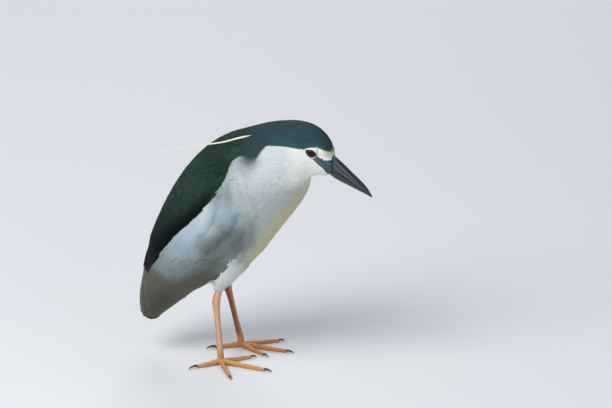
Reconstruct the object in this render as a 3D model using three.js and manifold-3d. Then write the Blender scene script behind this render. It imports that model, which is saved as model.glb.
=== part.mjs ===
// A life-size adult black-crowned night heron, standing hunched with its neck drawn in and its bill
// pointing down. Millimetres, +X forwards, +Y to the bird's left, +Z up. The bird is laid out on its own
// datum, a point on the floor between the feet, and the finished group is moved so that the origin is the
// middle of its footprint.
import * as THREE from "three";
import { mergeVertices } from "three/addons/utils/BufferGeometryUtils.js";
import Module from "manifold-3d";

const wasm = await Module();
wasm.setup();

// -------------------------------------------------------------------------------------------------
// Driving dimensions
// -------------------------------------------------------------------------------------------------
const GAP = 0.35; // clearance between touching solids
const FINENESS = 0.08; // slivers left by a cut are merged below this size
const SKIN = { around: 30, perStation: 1.4 }; // facets round a rib of the body, ribs for each station
const LINING = { around: 20, perStation: 0.8 }; // the same for the hidden faces under wings and tail

const SIDES = [
  { name: "right", sign: -1 },
  { name: "left", sign: 1 },
];

// Each station of the body is one oval rib: its point on the back, its point on the belly, its half width,
// and how much wider its back half is than its belly half (pear).
const BODY = [
  { at: "past the tips", back: [-107, 38], belly: [-101, 35], half: 10, pear: 0 },
  { at: "wing tips", back: [-116, 56], belly: [-95, 46], half: 20, pear: 0 },
  { at: "tail", back: [-118.5, 76], belly: [-79, 60], half: 29, pear: -0.04 },
  { at: "rump", back: [-114.5, 105], belly: [-60, 76], half: 36, pear: -0.04 },
  { at: "tail coverts", back: [-109.5, 134], belly: [-43, 90], half: 43, pear: -0.02 },
  { at: "vent", back: [-103, 163], belly: [-22, 103], half: 50, pear: 0 },
  { at: "loin", back: [-92, 193], belly: [2, 116], half: 56, pear: 0 },
  { at: "belly", back: [-76, 228], belly: [30, 131], half: 60, pear: 0 },
  { at: "back", back: [-56, 262], belly: [55, 157], half: 62, pear: 0 },
  { at: "shoulders", back: [-34, 289], belly: [82, 196], half: 61, pear: -0.03 },
  { at: "breast", back: [-15, 306], belly: [104, 226], half: 57, pear: -0.06 },
  { at: "crop", back: [8, 320], belly: [115, 245], half: 51, pear: -0.08 },
  { at: "neck", back: [35, 330], belly: [118.5, 258], half: 43, pear: -0.08 },
  { at: "nape", back: [60, 339], belly: [119.5, 265.5], half: 34, pear: -0.04 },
  { at: "hind crown", back: [87, 344.5], belly: [123.5, 269.5], half: 28, pear: 0.05 },
  { at: "crown", back: [108, 345], belly: [131, 271.5], half: 24, pear: 0.1 },
  { at: "eyes", back: [126, 340.5], belly: [138.5, 272], half: 21, pear: 0.1 },
  { at: "forehead", back: [140, 330], belly: [144.5, 271.5], half: 18, pear: 0.06 },
  { at: "lores", back: [148.5, 317], belly: [149, 270.5], half: 15, pear: 0.02 },
  { at: "bill base", back: [152, 304], belly: [152.5, 269.5], half: 12, pear: 0 },
];
const stationOf = (name) => BODY.findIndex((station) => station.at === name);

// The folded wing, as seen from the side: x, z of its outline from the shoulder back to the tip and
// forwards again.
const WING = {
  upperEdge: [
    [34, 292], [19, 279], [11, 262], [-6, 242], [-24, 217],
    [-37, 203], [-59, 184], [-77, 159], [-89, 139], [-104, 117],
  ],
  tip: [[-122, 112], [-126, 70], [-112, 48], [-94, 45]],
  lowerEdge: [[-70, 64], [-40, 93], [-6, 119], [19, 146], [38, 165]],
  bend: [[51, 184], [57, 205], [57, 232], [48, 262]],
  depth: 9, // how far the wing is let into the body
  tipDepth: 4, // and its thickness at the tip
  proud: 1.6, // how far it stands out from it
  midGap: 1.2, // half the gap between the two wings over the back
};

// The tail lies along the back between the wings; its outline as seen from the side and from behind.
const TAIL = {
  fromSide: [[-130, 40], [-108, 40], [-101, 60], [-100, 90], [-95, 117], [-92, 142], [-130, 142]],
  fromBehind: [[-24, 40], [24, 40], [21, 100], [9, 150], [-9, 150], [-21, 100]],
  depth: 5,
};

// The coverts under the tail: a tapering form between the lower edges of the wings.
const UNDERTAIL = {
  path: [[-86, 0, 66], [-68, 0, 85], [-52, 0, 101], [-30, 0, 122]],
  radii: [6, 11, 14, 18],
};

const EYE = { x: 126, z: 309.5, radius: 8.5, sunk: 4.2 };

// The bill, base to tip: its ridge, its lower edge and its half width.
const BILL = [
  { ridge: [143, 302], keel: [141, 274], half: 9.6 },
  { ridge: [151.5, 300.5], keel: [150, 270], half: 9.4 },
  { ridge: [165, 290], keel: [161, 265.3], half: 7.8 },
  { ridge: [177, 279], keel: [173.5, 259.6], half: 6.1 },
  { ridge: [191.2, 266.5], keel: [186.5, 254], half: 4.2 },
  { ridge: [199.5, 257], keel: [197, 249.4], half: 2.6 },
  { ridge: [205.5, 246.6], keel: [204.6, 245.4], half: 0.7 },
];
const GAPE = [[130, 292], [150, 282.5], [171, 271.5], [188, 259.8], [207, 245]];

// Legs: each joint as x, y, z. The tibia is feathered down to the cuff.
const LEGS = {
  right: { knee: [17, -27, 152], cuff: [2.5, -33, 110], heel: [-3, -33, 89], ankle: [3.2, -33, 8.5] },
  left: { knee: [16, 28, 150], cuff: [-1, 35.5, 107], heel: [-6, 36, 88], ankle: [12.4, 37, 8.5] },
};
const SHANK = { cuff: 4.8, heel: 6.2, below: 4.6, middle: 4.1, ankle: 5, sole: 3.5 };
const THIGH = { top: 22, upper: 27, middle: 17, cuff: 7 };

// Toes by number, hind toe first: length without claw, thickness and heading (degrees from straight ahead).
const TOES = [
  { number: 1, length: 35, radius: 3.3, claw: 13, heading: { right: 221, left: 205 } },
  { number: 2, length: 46, radius: 2.9, claw: 9, heading: { right: 43, left: -33 } },
  { number: 3, length: 65, radius: 3.2, claw: 11, heading: { right: -10, left: -5 } },
  { number: 4, length: 54, radius: 2.9, claw: 9, heading: { right: -62, left: 35 } },
];

// The long white plumes of the hind crown, lying together as one.
const PLUMES = { path: [[38, -12, 326], [-18, -24, 313], [-66, -22, 299], [-104, -20, 286]], radius: 1.5 };

// -------------------------------------------------------------------------------------------------
// Materials
// -------------------------------------------------------------------------------------------------
const finish = (color, roughness) => new THREE.MeshStandardMaterial({ color, roughness, metalness: 0 });
const MATERIALS = {
  whitePlumage: finish(0xd3dadd, 0.9),
  darkPlumage: finish(0x1f3236, 0.7),
  greyPlumage: finish(0x97a3a8, 0.8),
  bill: finish(0x2c3a3c, 0.35),
  eye: finish(0x6e1420, 0.05),
  legSkin: finish(0xcf9a5a, 0.5),
  claw: finish(0x2b2f33, 0.35),
  plume: finish(0xf2efe2, 0.7),
};

// -------------------------------------------------------------------------------------------------
// Solids and meshes
// -------------------------------------------------------------------------------------------------
const bare = (geometry) => {
  const positions = geometry.index ? geometry.clone() : geometry;
  for (const name of Object.keys(positions.attributes)) {
    if (name !== "position") positions.deleteAttribute(name);
  }
  return mergeVertices(positions, 1e-4);
};

const toSolid = (geometry) => {
  const merged = bare(geometry);
  const triVerts = new Uint32Array(merged.index.array);
  const vertProperties = new Float32Array(merged.attributes.position.array);
  return new wasm.Manifold(new wasm.Mesh({ numProp: 3, vertProperties, triVerts }));
};

const toGeometry = (solid) => {
  const mesh = solid.getMesh();
  const positions = new Float32Array(mesh.numVert * 3);
  for (let i = 0; i < mesh.numVert; i++) {
    for (let axis = 0; axis < 3; axis++)
      positions[3 * i + axis] = mesh.vertProperties[mesh.numProp * i + axis];
  }
  const geometry = new THREE.BufferGeometry();
  geometry.setAttribute("position", new THREE.BufferAttribute(positions, 3));
  geometry.setIndex(new THREE.BufferAttribute(new Uint32Array(mesh.triVerts), 1));
  return geometry;
};

// The largest of the bodies that a cut leaves.
const largest = (solid) => solid.decompose().reduce((a, b) => (a.volume() > b.volume() ? a : b));

// A closed skin over a row of rings with the same number of points, capped flat at both ends.
const loft = (rings) => {
  const count = rings[0].length;
  const points = rings.flat();
  const middle = (ring) => ring.reduce((sum, p) => sum.add(p), new THREE.Vector3()).divideScalar(count);
  points.push(middle(rings[0]), middle(rings[rings.length - 1]));
  const [first, last] = [points.length - 2, points.length - 1];
  const index = [];
  for (let r = 0; r + 1 < rings.length; r++) {
    for (let i = 0; i < count; i++) {
      const [a, b] = [r * count + i, r * count + ((i + 1) % count)];
      const [c, d] = [a + count, b + count];
      index.push(a, b, d, a, d, c);
    }
  }
  const top = (rings.length - 1) * count;
  for (let i = 0; i < count; i++) {
    const next = (i + 1) % count;
    index.push(first, next, i);
    index.push(last, top + i, top + next);
  }
  const geometry = new THREE.BufferGeometry().setFromPoints(points);
  geometry.setIndex(index);
  if (toSolid(geometry).volume() > 0) return geometry;
  geometry.setIndex(index.reverse());
  return geometry;
};

const vector = (point) => new THREE.Vector3(...point);

// A tube of oval section along a smooth path. Each radius is that of the path's point.
const limb = (path, radii, { around = 10, steps = 12, flatten = 1 } = {}) => {
  const curve = new THREE.CatmullRomCurve3(path.map(vector), false, "centripetal");
  const girth = new THREE.SplineCurve(radii.map((radius, i) => new THREE.Vector2(i, radius)));
  const frames = curve.computeFrenetFrames(steps, false);
  const rings = [];
  for (let step = 0; step <= steps; step++) {
    const radius = girth.getPoint(step / steps).y;
    const centre = curve.getPoint(step / steps);
    const ring = [];
    for (let i = 0; i < around; i++) {
      const angle = (i / around) * 2 * Math.PI;
      const out = frames.normals[step].clone().multiplyScalar(radius * Math.cos(angle));
      out.addScaledVector(frames.binormals[step], radius * flatten * Math.sin(angle));
      ring.push(out.add(centre));
    }
    rings.push(ring);
  }
  return loft(rings);
};

// A plate with an outline as seen from the side (x, z), from one y to another.
const plate = (outline, fromY, toY) => {
  const shape = new THREE.Shape(outline.map(([x, z]) => new THREE.Vector2(x, z)));
  const geometry = new THREE.ExtrudeGeometry(shape, { depth: toY - fromY, bevelEnabled: false });
  return geometry.rotateX(Math.PI / 2).translate(0, toY, 0);
};

// A plate with an outline as seen from behind (y, z), from one x to another.
const crossPlate = (outline, fromX, toX) =>
  plate(outline, -toX, -fromX).rotateZ(Math.PI / 2);

const smoothOutline = (outline, count) => {
  const corners = outline.map(([x, z]) => new THREE.Vector3(x, 0, z));
  const curve = new THREE.CatmullRomCurve3(corners, true, "centripetal");
  return curve.getSpacedPoints(count).slice(0, -1).map((point) => [point.x, point.z]);
};

const belowFloor = toSolid(new THREE.BoxGeometry(900, 900, 200).translate(0, 0, -100));

const addTo = (group, name, solid, material) => {
  const mesh = new THREE.Mesh(toGeometry(largest(solid.simplify(FINENESS))), material);
  mesh.name = name;
  group.add(mesh);
};

// -------------------------------------------------------------------------------------------------
// The body: one smooth form from the wing tips to the bill, parted into trunk, neck and head
// -------------------------------------------------------------------------------------------------
const smoothLine = (points) => {
  const curve = new THREE.CatmullRomCurve3(points.map(([x, z]) => new THREE.Vector3(x, 0, z)));
  return (at) => curve.getPoint(at / (points.length - 1));
};
const backLine = smoothLine(BODY.map((station) => station.back));
const bellyLine = smoothLine(BODY.map((station) => station.belly));
const sizeLine = smoothLine(BODY.map((station) => [station.half, station.pear * 100]));

// A rib at a place counted in stations, drawn in by the inset.
const bodyRib = (at, inset, around) => {
  const back = backLine(at);
  const belly = bellyLine(at);
  const size = sizeLine(at);
  const centre = back.clone().add(belly).multiplyScalar(0.5);
  const up = back.clone().sub(belly);
  const reach = Math.max(up.length() / 2 - inset, 1);
  up.normalize();
  const half = Math.max(size.x - inset, 1);
  const pear = size.z / 100;
  const ring = [];
  for (let i = 0; i < around; i++) {
    const angle = (i / around) * 2 * Math.PI;
    const point = centre.clone().addScaledVector(up, reach * Math.cos(angle));
    point.y = half * Math.sin(angle) * (1 + pear * Math.cos(angle));
    ring.push(point);
  }
  return ring;
};

const bodyForm = (from, to, insetAt = () => 0, { around, perStation } = SKIN) => {
  const count = Math.max(2, Math.round((to - from) * perStation));
  const rings = [];
  for (let i = 0; i <= count; i++) {
    const at = THREE.MathUtils.lerp(from, to, i / count);
    rings.push(bodyRib(at, insetAt(at), around));
  }
  return loft(rings);
};

const TIPS = stationOf("wing tips");
const BELLY = stationOf("belly");
const RUMP_END = TIPS + 0.5;
const NECK_START = stationOf("crop");
const HEAD_START = stationOf("nape") + 0.6;
const BILL_START = stationOf("bill base");
const PART_GAP = 0.012; // a thin cut, in stations

// Towards the tail the trunk draws in a little, under the wings.
const rumpInset = (at) => 3 * THREE.MathUtils.clamp(stationOf("vent") - at, 0, 1);

const undertail = (clearance) =>
  toSolid(
    limb(UNDERTAIL.path, UNDERTAIL.radii.map((radius) => radius + clearance), { around: 16, steps: 6 }),
  );

// -------------------------------------------------------------------------------------------------
// Tail and wings: the parts of the body's form inside their outlines, down to their depth
// -------------------------------------------------------------------------------------------------
const widened = (outline, distance) => {
  const corners = outline.map((corner) => new THREE.Vector2(...corner));
  const outward = Math.sign(THREE.ShapeUtils.area(corners));
  const normalOf = (from, to) =>
    new THREE.Vector2(to.y - from.y, from.x - to.x).normalize().multiplyScalar(outward);
  return corners.map((corner, i) => {
    const before = normalOf(corners.at(i - 1), corner);
    const after = normalOf(corner, corners[(i + 1) % corners.length]);
    const away = before.clone().add(after).normalize();
    away.multiplyScalar(distance / away.dot(before));
    return corner.clone().add(away).toArray();
  });
};

const tailSolid = (clearance, above) => {
  const last = stationOf("vent");
  const outside = toSolid(bodyForm(TIPS, last, () => -above));
  const inside = toSolid(bodyForm(TIPS - 0.5, last + 0.5, () => TAIL.depth + clearance, LINING));
  const fromSide = toSolid(plate(widened(TAIL.fromSide, clearance), -60, 60));
  const fromBehind = toSolid(crossPlate(widened(TAIL.fromBehind, clearance), -150, -50));
  return largest(outside.intersect(fromSide).intersect(fromBehind).subtract(inside));
};
const tailClearance = tailSolid(GAP, 8);

const wingOutline = smoothOutline([...WING.upperEdge, ...WING.tip, ...WING.lowerEdge, ...WING.bend], 44);
const wingDepthAt = (at) =>
  THREE.MathUtils.lerp(WING.tipDepth, WING.depth, THREE.MathUtils.smoothstep(at, TIPS, BELLY));

const wingSolid = (sign, clearance) => {
  const last = stationOf("neck");
  const outside = toSolid(bodyForm(TIPS, last, () => -WING.proud - clearance));
  const inside = toSolid(bodyForm(TIPS - 0.5, last + 0.5, (at) => wingDepthAt(at) + clearance, LINING));
  const outline = widened(wingOutline, clearance);
  const near = WING.midGap - clearance;
  const block = sign > 0 ? plate(outline, near, 120) : plate(outline, -120, -near);
  const wing = outside.intersect(toSolid(block)).subtract(inside);
  return clearance > 0 ? wing : largest(wing.subtract(tailClearance).subtract(undertail(GAP)));
};

const wings = SIDES.map(({ sign }) => wingSolid(sign, 0));
const wingClearance = SIDES.map(({ sign }) => wingSolid(sign, GAP)).reduce((a, b) => a.add(b));

// -------------------------------------------------------------------------------------------------
// Head, eyes and bill
// -------------------------------------------------------------------------------------------------
const headHalfAtEye = BODY[stationOf("eyes")].half;
const eyeball = (sign, clearance) => {
  const ball = new THREE.SphereGeometry(EYE.radius + clearance, 16, 8);
  ball.rotateX(Math.PI / 2).translate(EYE.x, sign * (headHalfAtEye - EYE.sunk), EYE.z);
  return toSolid(ball);
};

const billForm = (clearance) => {
  const ridge = smoothLine(BILL.map((station) => station.ridge));
  const keel = smoothLine(BILL.map((station) => station.keel));
  const size = smoothLine(BILL.map((station) => [station.half, 0]));
  const rings = [];
  const steps = 10;
  for (let step = 0; step <= steps; step++) {
    const at = (step / steps) * (BILL.length - 1);
    const [top, bottom] = [ridge(at), keel(at)];
    const centre = top.clone().add(bottom).multiplyScalar(0.5);
    const up = top.clone().sub(centre);
    up.setLength(up.length() + clearance);
    const half = size(at).x + clearance;
    const around = 16;
    const ring = [];
    for (let i = 0; i < around; i++) {
      const angle = (i / around) * 2 * Math.PI;
      const point = centre.clone().addScaledVector(up, Math.cos(angle));
      point.y = half * Math.sin(angle);
      ring.push(point);
    }
    rings.push(ring);
  }
  return toSolid(loft(rings));
};

// The gape: a thin sheet between the two halves of the bill.
const gapeLine = (offset) => GAPE.map(([x, z]) => [x, z + offset]);
const aboveGape = toSolid(plate([...gapeLine(GAP / 2), [230, 400], [100, 400]], -60, 60));
const belowGape = toSolid(plate([...gapeLine(-GAP / 2), [230, 150], [100, 150]].reverse(), -60, 60));
const bill = billForm(0);

const eyeClearance = SIDES.map(({ sign }) => eyeball(sign, GAP)).reduce((a, b) => a.add(b));
const head = toSolid(bodyForm(HEAD_START + PART_GAP, BILL_START))
  .subtract(billForm(GAP))
  .subtract(eyeClearance);
const neck = toSolid(bodyForm(NECK_START + PART_GAP, HEAD_START));
const trunkForm = toSolid(bodyForm(RUMP_END, NECK_START, rumpInset));

// -------------------------------------------------------------------------------------------------
// Legs and feet
// -------------------------------------------------------------------------------------------------
const between = (a, b, share) => a.map((value, axis) => THREE.MathUtils.lerp(value, b[axis], share));

const thighForm = (leg, clearance) =>
  toSolid(
    limb(
      [between(leg.knee, leg.cuff, -0.5), leg.knee, between(leg.knee, leg.cuff, 0.55), leg.cuff],
      [THIGH.top, THIGH.upper, THIGH.middle, THIGH.cuff].map((radius) => radius + clearance),
      { around: 16, steps: 7 },
    ),
  );

const shankForm = (leg, clearance) =>
  toSolid(
    limb(
      [
        between(leg.cuff, leg.knee, 0.2),
        leg.cuff,
        leg.heel,
        between(leg.heel, leg.ankle, 0.2),
        between(leg.heel, leg.ankle, 0.6),
        leg.ankle,
        [leg.ankle[0], leg.ankle[1], 1],
      ],
      [SHANK.cuff, SHANK.cuff, SHANK.heel, SHANK.below, SHANK.middle, SHANK.ankle, SHANK.sole].map(
        (radius) => radius + clearance,
      ),
      { around: 10, steps: 15, flatten: 0.86 },
    ),
  );

const headingVector = (degrees) => {
  const angle = THREE.MathUtils.degToRad(degrees);
  return new THREE.Vector3(Math.cos(angle), Math.sin(angle), 0);
};

// A toe leaves the end of the shank, arches a little and lies on its pads.
const toePath = (leg, toe, heading) => {
  const start = new THREE.Vector3(leg.ankle[0], leg.ankle[1], toe.radius * 1.5);
  const place = (share, height) => start.clone().addScaledVector(heading, toe.length * share).setZ(height);
  return [
    start,
    place(0.3, toe.radius * 1.15),
    place(0.65, toe.radius * 0.85),
    place(1, toe.radius * 0.75),
  ];
};

const toeForm = (leg, toe, heading, clearance) =>
  toSolid(
    limb(
      toePath(leg, toe, heading).map((p) => p.toArray()),
      [1.5, 1.05, 1.1, 0.9, 1.02, 0.85, 0.7].map((share) => share * toe.radius + clearance),
      { around: 8, steps: 6 },
    ),
  );

// A claw curves down from the toe's end to a blunt point on the floor.
const clawForm = (leg, toe, heading) => {
  const end = toePath(leg, toe, heading)[3];
  const place = (share, height) =>
    end.clone().addScaledVector(heading, toe.claw * share).setZ(height).toArray();
  const height = toe.radius;
  return toSolid(
    limb(
      [
        place(-0.2, height * 0.85),
        place(0.3, height * 1.15),
        place(0.75, height * 0.8),
        place(1, height * 0.12),
      ],
      [0.62, 0.5, 0.34, 0.14].map((share) => share * toe.radius),
      { around: 6, steps: 3 },
    ),
  );
};

const thighs = SIDES.map(({ name }) => thighForm(LEGS[name], 0));
const thighClearance = SIDES.map(({ name }) => thighForm(LEGS[name], GAP)).reduce((a, b) => a.add(b));

const plumeRadii = [1, 0.8, 0.35, 0.25].map((share) => share * PLUMES.radius);
const plumes = toSolid(limb(PLUMES.path, plumeRadii, { around: 6, steps: 12 }));

// -------------------------------------------------------------------------------------------------
// Assembly
// -------------------------------------------------------------------------------------------------
const trunkClearance = toSolid(bodyForm(RUMP_END, NECK_START, (at) => rumpInset(at) - GAP));
const neckClearance = toSolid(bodyForm(NECK_START, HEAD_START, () => -GAP));

const heron = new THREE.Group();

const body = new THREE.Group();
heron.add(body);
const trunk = trunkForm.subtract(wingClearance).add(undertail(0)).subtract(tailClearance);
addTo(body, "trunk", trunk, MATERIALS.whitePlumage);
addTo(body, "neck", neck.subtract(wingClearance), MATERIALS.whitePlumage);
addTo(body, "tail", tailSolid(0, 0.3).subtract(trunkClearance), MATERIALS.greyPlumage);
SIDES.forEach(({ name }, side) => addTo(body, `wing_${name}`, wings[side], MATERIALS.greyPlumage));

const face = new THREE.Group();
heron.add(face);
addTo(face, "head", head, MATERIALS.darkPlumage);
addTo(face, "bill_upper", bill.intersect(aboveGape), MATERIALS.bill);
addTo(face, "bill_lower", bill.intersect(belowGape), MATERIALS.bill);
SIDES.forEach(({ name, sign }) => addTo(face, `eye_${name}`, eyeball(sign, 0), MATERIALS.eye));
addTo(face, "nape_plumes", plumes.subtract(neckClearance).subtract(trunkClearance), MATERIALS.plume);

SIDES.forEach(({ name }, side) => {
  const leg = LEGS[name];
  const limbs = new THREE.Group();
  heron.add(limbs);
  const thigh = thighs[side].subtract(trunkClearance).subtract(wingClearance);
  addTo(limbs, `thigh_${name}`, thigh, MATERIALS.whitePlumage);
  const shank = shankForm(leg, 0).subtract(belowFloor).subtract(thighClearance);
  addTo(limbs, `shank_${name}`, shank, MATERIALS.legSkin);
  let taken = shankForm(leg, GAP);
  for (const toe of TOES) {
    const heading = headingVector(toe.heading[name]);
    const form = toeForm(leg, toe, heading, 0).subtract(belowFloor).subtract(taken);
    addTo(limbs, `toe_${name}_${toe.number}`, form, MATERIALS.legSkin);
    taken = taken.add(toeForm(leg, toe, heading, GAP));
  }
  for (const toe of TOES) {
    const claw = clawForm(leg, toe, headingVector(toe.heading[name])).subtract(belowFloor).subtract(taken);
    addTo(limbs, `claw_${name}_${toe.number}`, claw, MATERIALS.claw);
  }
});

// The origin is the middle of the footprint, on the floor.
const box = new THREE.Box3().setFromObject(heron);
heron.position.set(-(box.min.x + box.max.x) / 2, -(box.min.y + box.max.y) / 2, -box.min.z);

export default heron;
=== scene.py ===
# %% [markdown]
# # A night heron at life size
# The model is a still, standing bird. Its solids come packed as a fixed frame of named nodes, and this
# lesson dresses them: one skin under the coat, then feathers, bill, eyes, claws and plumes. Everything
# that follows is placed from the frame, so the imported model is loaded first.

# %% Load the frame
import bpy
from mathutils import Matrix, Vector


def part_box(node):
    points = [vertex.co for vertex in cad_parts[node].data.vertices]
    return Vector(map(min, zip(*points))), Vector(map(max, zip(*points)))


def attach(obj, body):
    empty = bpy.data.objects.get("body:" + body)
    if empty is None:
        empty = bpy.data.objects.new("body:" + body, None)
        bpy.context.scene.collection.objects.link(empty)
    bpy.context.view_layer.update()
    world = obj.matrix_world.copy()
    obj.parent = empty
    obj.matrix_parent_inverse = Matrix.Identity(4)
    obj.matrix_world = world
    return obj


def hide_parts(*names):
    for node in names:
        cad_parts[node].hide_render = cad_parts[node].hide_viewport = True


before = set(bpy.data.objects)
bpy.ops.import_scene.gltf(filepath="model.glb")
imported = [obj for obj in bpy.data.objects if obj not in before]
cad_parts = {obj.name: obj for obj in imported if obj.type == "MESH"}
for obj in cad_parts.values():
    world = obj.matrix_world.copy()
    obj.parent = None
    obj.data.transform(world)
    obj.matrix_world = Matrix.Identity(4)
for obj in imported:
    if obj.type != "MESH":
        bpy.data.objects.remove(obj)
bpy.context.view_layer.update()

# %% [markdown]
# ## One ruler for the bird
# A bird is easier to describe from its own standing point: x runs forward, y to its left and z up, in
# millimetres, from the floor between the feet. The eyes are the surest landmark, so the ruler hangs on
# the middle of the two eye nodes, and every later number is read on it.

# %% The bird's own ruler
import math
import bmesh
import bpy
import numpy as np
from mathutils import Matrix, Vector
from mathutils.bvhtree import BVHTree

MM = 0.001
EYES_AT = np.array([126.0, 0.0, 309.5])


def node_middle(name):
    low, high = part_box(name)
    return (np.array(low) + np.array(high)) / 2


ORIGIN = (node_middle("eye_right") + node_middle("eye_left")) / 2 - EYES_AT * MM


def to_world(points):
    """Places on the bird's ruler, as metres in the frame."""
    return np.asarray(points, dtype=float) * MM + ORIGIN


def to_ruler(points):
    """Places in the frame, as millimetres on the bird's ruler."""
    return (np.asarray(points, dtype=float) - ORIGIN) / MM


print("ruler origin in the frame:", ORIGIN.round(4))

# %% [markdown]
# ## Camera, floor and light
# A museum bird is looked at from a little above and a little ahead of its side. A long lens from far away
# keeps the sides of the body nearly parallel, as a telescope does. The light is that of an overcast day:
# a big soft source overhead on the viewer's left, a weak one on the right, and a pale surround that fills
# the shadows.

# %% Camera
TURN = math.radians(15)
RISE = math.radians(20)
LENS_MM = 600
DISTANCE = 13.77
AIM_ACROSS = 109.35
AIM_UP = 204.3
VIEW_RIGHT = Vector((math.cos(TURN), math.sin(TURN), 0))
VIEW_UP = Vector((-math.sin(TURN) * math.sin(RISE), math.cos(TURN) * math.sin(RISE), math.cos(RISE)))
VIEW_BACK = VIEW_RIGHT.cross(VIEW_UP)

camera_data = bpy.data.cameras.new("camera")
camera_data.lens = LENS_MM
camera_data.sensor_width = 36
camera_data.clip_end = 60
camera = bpy.data.objects.new("camera", camera_data)
aim = Vector(ORIGIN) + (VIEW_RIGHT * AIM_ACROSS + VIEW_UP * AIM_UP) * MM
turned = Matrix((VIEW_RIGHT, VIEW_UP, VIEW_BACK)).transposed().to_4x4()
camera.matrix_world = Matrix.Translation(aim + VIEW_BACK * DISTANCE) @ turned
bpy.context.scene.collection.objects.link(camera)
bpy.context.scene.camera = camera
print("camera at", [round(v, 3) for v in camera.location])


# %% Floor and lights
def area_light(name, place, size, power, colour):
    """A soft square light at a place in metres, turned to the bird's middle."""
    data = bpy.data.lights.new(name, "AREA")
    data.size = size
    data.energy = power
    data.color = colour
    lamp = bpy.data.objects.new(name, data)
    lamp.location = place
    lamp.rotation_euler = (Vector((0, 0, 0.18)) - Vector(place)).to_track_quat("-Z", "Y").to_euler()
    bpy.context.scene.collection.objects.link(lamp)
    return lamp


area_light("key", (-1.3, -1.9, 2.5), 2.0, 82, (1.0, 0.99, 0.965))
area_light("fill", (2.2, -1.6, 1.2), 1.8, 12, (0.95, 0.98, 1.0))
area_light("rim", (-0.6, 2.4, 1.9), 1.6, 18, (0.95, 0.98, 1.0))
world = bpy.data.worlds.new("studio")
world.use_nodes = True
world.node_tree.nodes["Background"].inputs["Color"].default_value = (0.80, 0.84, 0.90, 1)
world.node_tree.nodes["Background"].inputs["Strength"].default_value = 0.42
bpy.context.scene.world = world
bpy.context.scene.view_settings.view_transform = "Standard"

floor_mesh = bpy.data.meshes.new("floor")
REACH = 9.0
floor_corners = [(-REACH, -REACH, 0), (REACH, -REACH, 0), (REACH, REACH, 0), (-REACH, REACH, 0)]
floor_mesh.from_pydata(floor_corners, [], [(0, 1, 2, 3)])
floor = bpy.data.objects.new("floor", floor_mesh)
bpy.context.scene.collection.objects.link(floor)
floor_finish = bpy.data.materials.new("studio_floor")
floor_finish.use_nodes = True
floor_shader = floor_finish.node_tree.nodes["Principled BSDF"]
floor_shader.inputs["Base Color"].default_value = (0.80, 0.81, 0.84, 1)
floor_shader.inputs["Roughness"].default_value = 0.7
floor_mesh.materials.append(floor_finish)
print("three lights and a floor", REACH * 2, "m wide")

# %% [markdown]
# ## From solids to one body form
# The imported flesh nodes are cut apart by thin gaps. To get one unbroken surface, each is swollen by more
# than half a gap, all are voxel remeshed together, the facets are smoothed away, and the swelling is
# taken off again. What is left is the outline of the coat: the feathers will end on it, and the skin will
# lie under it.


# %% Mesh helpers
def make_object(name, points, *face_sets):
    """An object from points on the ruler and arrays of faces, each array with rows of one length."""
    mesh = bpy.data.meshes.new(name)
    sizes = np.concatenate([np.full(len(f), f.shape[1]) for f in face_sets])
    corners = np.concatenate([f.ravel() for f in face_sets]).astype(np.int32)
    starts = np.concatenate([[0], np.cumsum(sizes)[:-1]]).astype(np.int32)
    mesh.vertices.add(len(points))
    mesh.vertices.foreach_set("co", to_world(points).ravel())
    mesh.loops.add(len(corners))
    mesh.loops.foreach_set("vertex_index", corners)
    mesh.polygons.add(len(sizes))
    mesh.polygons.foreach_set("loop_start", starts)
    mesh.update(calc_edges=True)
    mesh.shade_smooth()
    made = bpy.data.objects.new(name, mesh)
    bpy.context.scene.collection.objects.link(made)
    return made


def joined_nodes(name, nodes, swell):
    """A copy of several nodes as one object, each node grown outwards by swell millimetres."""
    whole = bmesh.new()
    for node in nodes:
        one = bmesh.new()
        one.from_mesh(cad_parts[node].data)
        bmesh.ops.remove_doubles(one, verts=one.verts, dist=1e-6)
        one.normal_update()
        for vertex in one.verts:
            vertex.co += vertex.normal * swell * MM
        spare = bpy.data.meshes.new("spare")
        one.to_mesh(spare)
        one.free()
        whole.from_mesh(spare)
        bpy.data.meshes.remove(spare)
    mesh = bpy.data.meshes.new(name)
    whole.to_mesh(mesh)
    whole.free()
    made = bpy.data.objects.new(name, mesh)
    bpy.context.scene.collection.objects.link(made)
    return made


def add_modifier(target, kind, **settings):
    modifier = target.modifiers.new(kind.lower(), kind)
    for key, value in settings.items():
        setattr(modifier, key, value)
    return modifier


def settle(target):
    """Replace an object's mesh by what its modifiers make of it."""
    depsgraph = bpy.context.evaluated_depsgraph_get()
    made = bpy.data.meshes.new_from_object(target.evaluated_get(depsgraph))
    target.modifiers.clear()
    old = target.data
    target.data = made
    bpy.data.meshes.remove(old)
    return made


def point_array(mesh):
    """A mesh's points, on the ruler."""
    flat = np.empty(len(mesh.vertices) * 3)
    mesh.vertices.foreach_get("co", flat)
    return to_ruler(flat.reshape(-1, 3))


def normal_array(mesh):
    flat = np.empty(len(mesh.vertices) * 3)
    mesh.vertex_normals.foreach_get("vector", flat)
    return flat.reshape(-1, 3)


def edge_array(mesh):
    flat = np.empty(len(mesh.edges) * 2, dtype=np.int32)
    mesh.edges.foreach_get("vertices", flat)
    return flat.reshape(-1, 2)


def set_points(mesh, points):
    mesh.vertices.foreach_set("co", to_world(points).ravel())
    mesh.update()


def spread_out(values, edges, rounds):
    """Smooth a value kept at every point by averaging it with its neighbours' values."""
    count = np.bincount(edges.ravel(), minlength=len(values))
    for _ in range(rounds):
        total = np.bincount(edges[:, 0], values[edges[:, 1]], len(values))
        total += np.bincount(edges[:, 1], values[edges[:, 0]], len(values))
        values = 0.5 * values + 0.5 * total / np.maximum(count, 1)
    return values


# %% Where the eyes sit
EYE_RADIUS = 8.5
LID_DOME = 9.15
EYE_SLANT = math.radians(-20)


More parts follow.
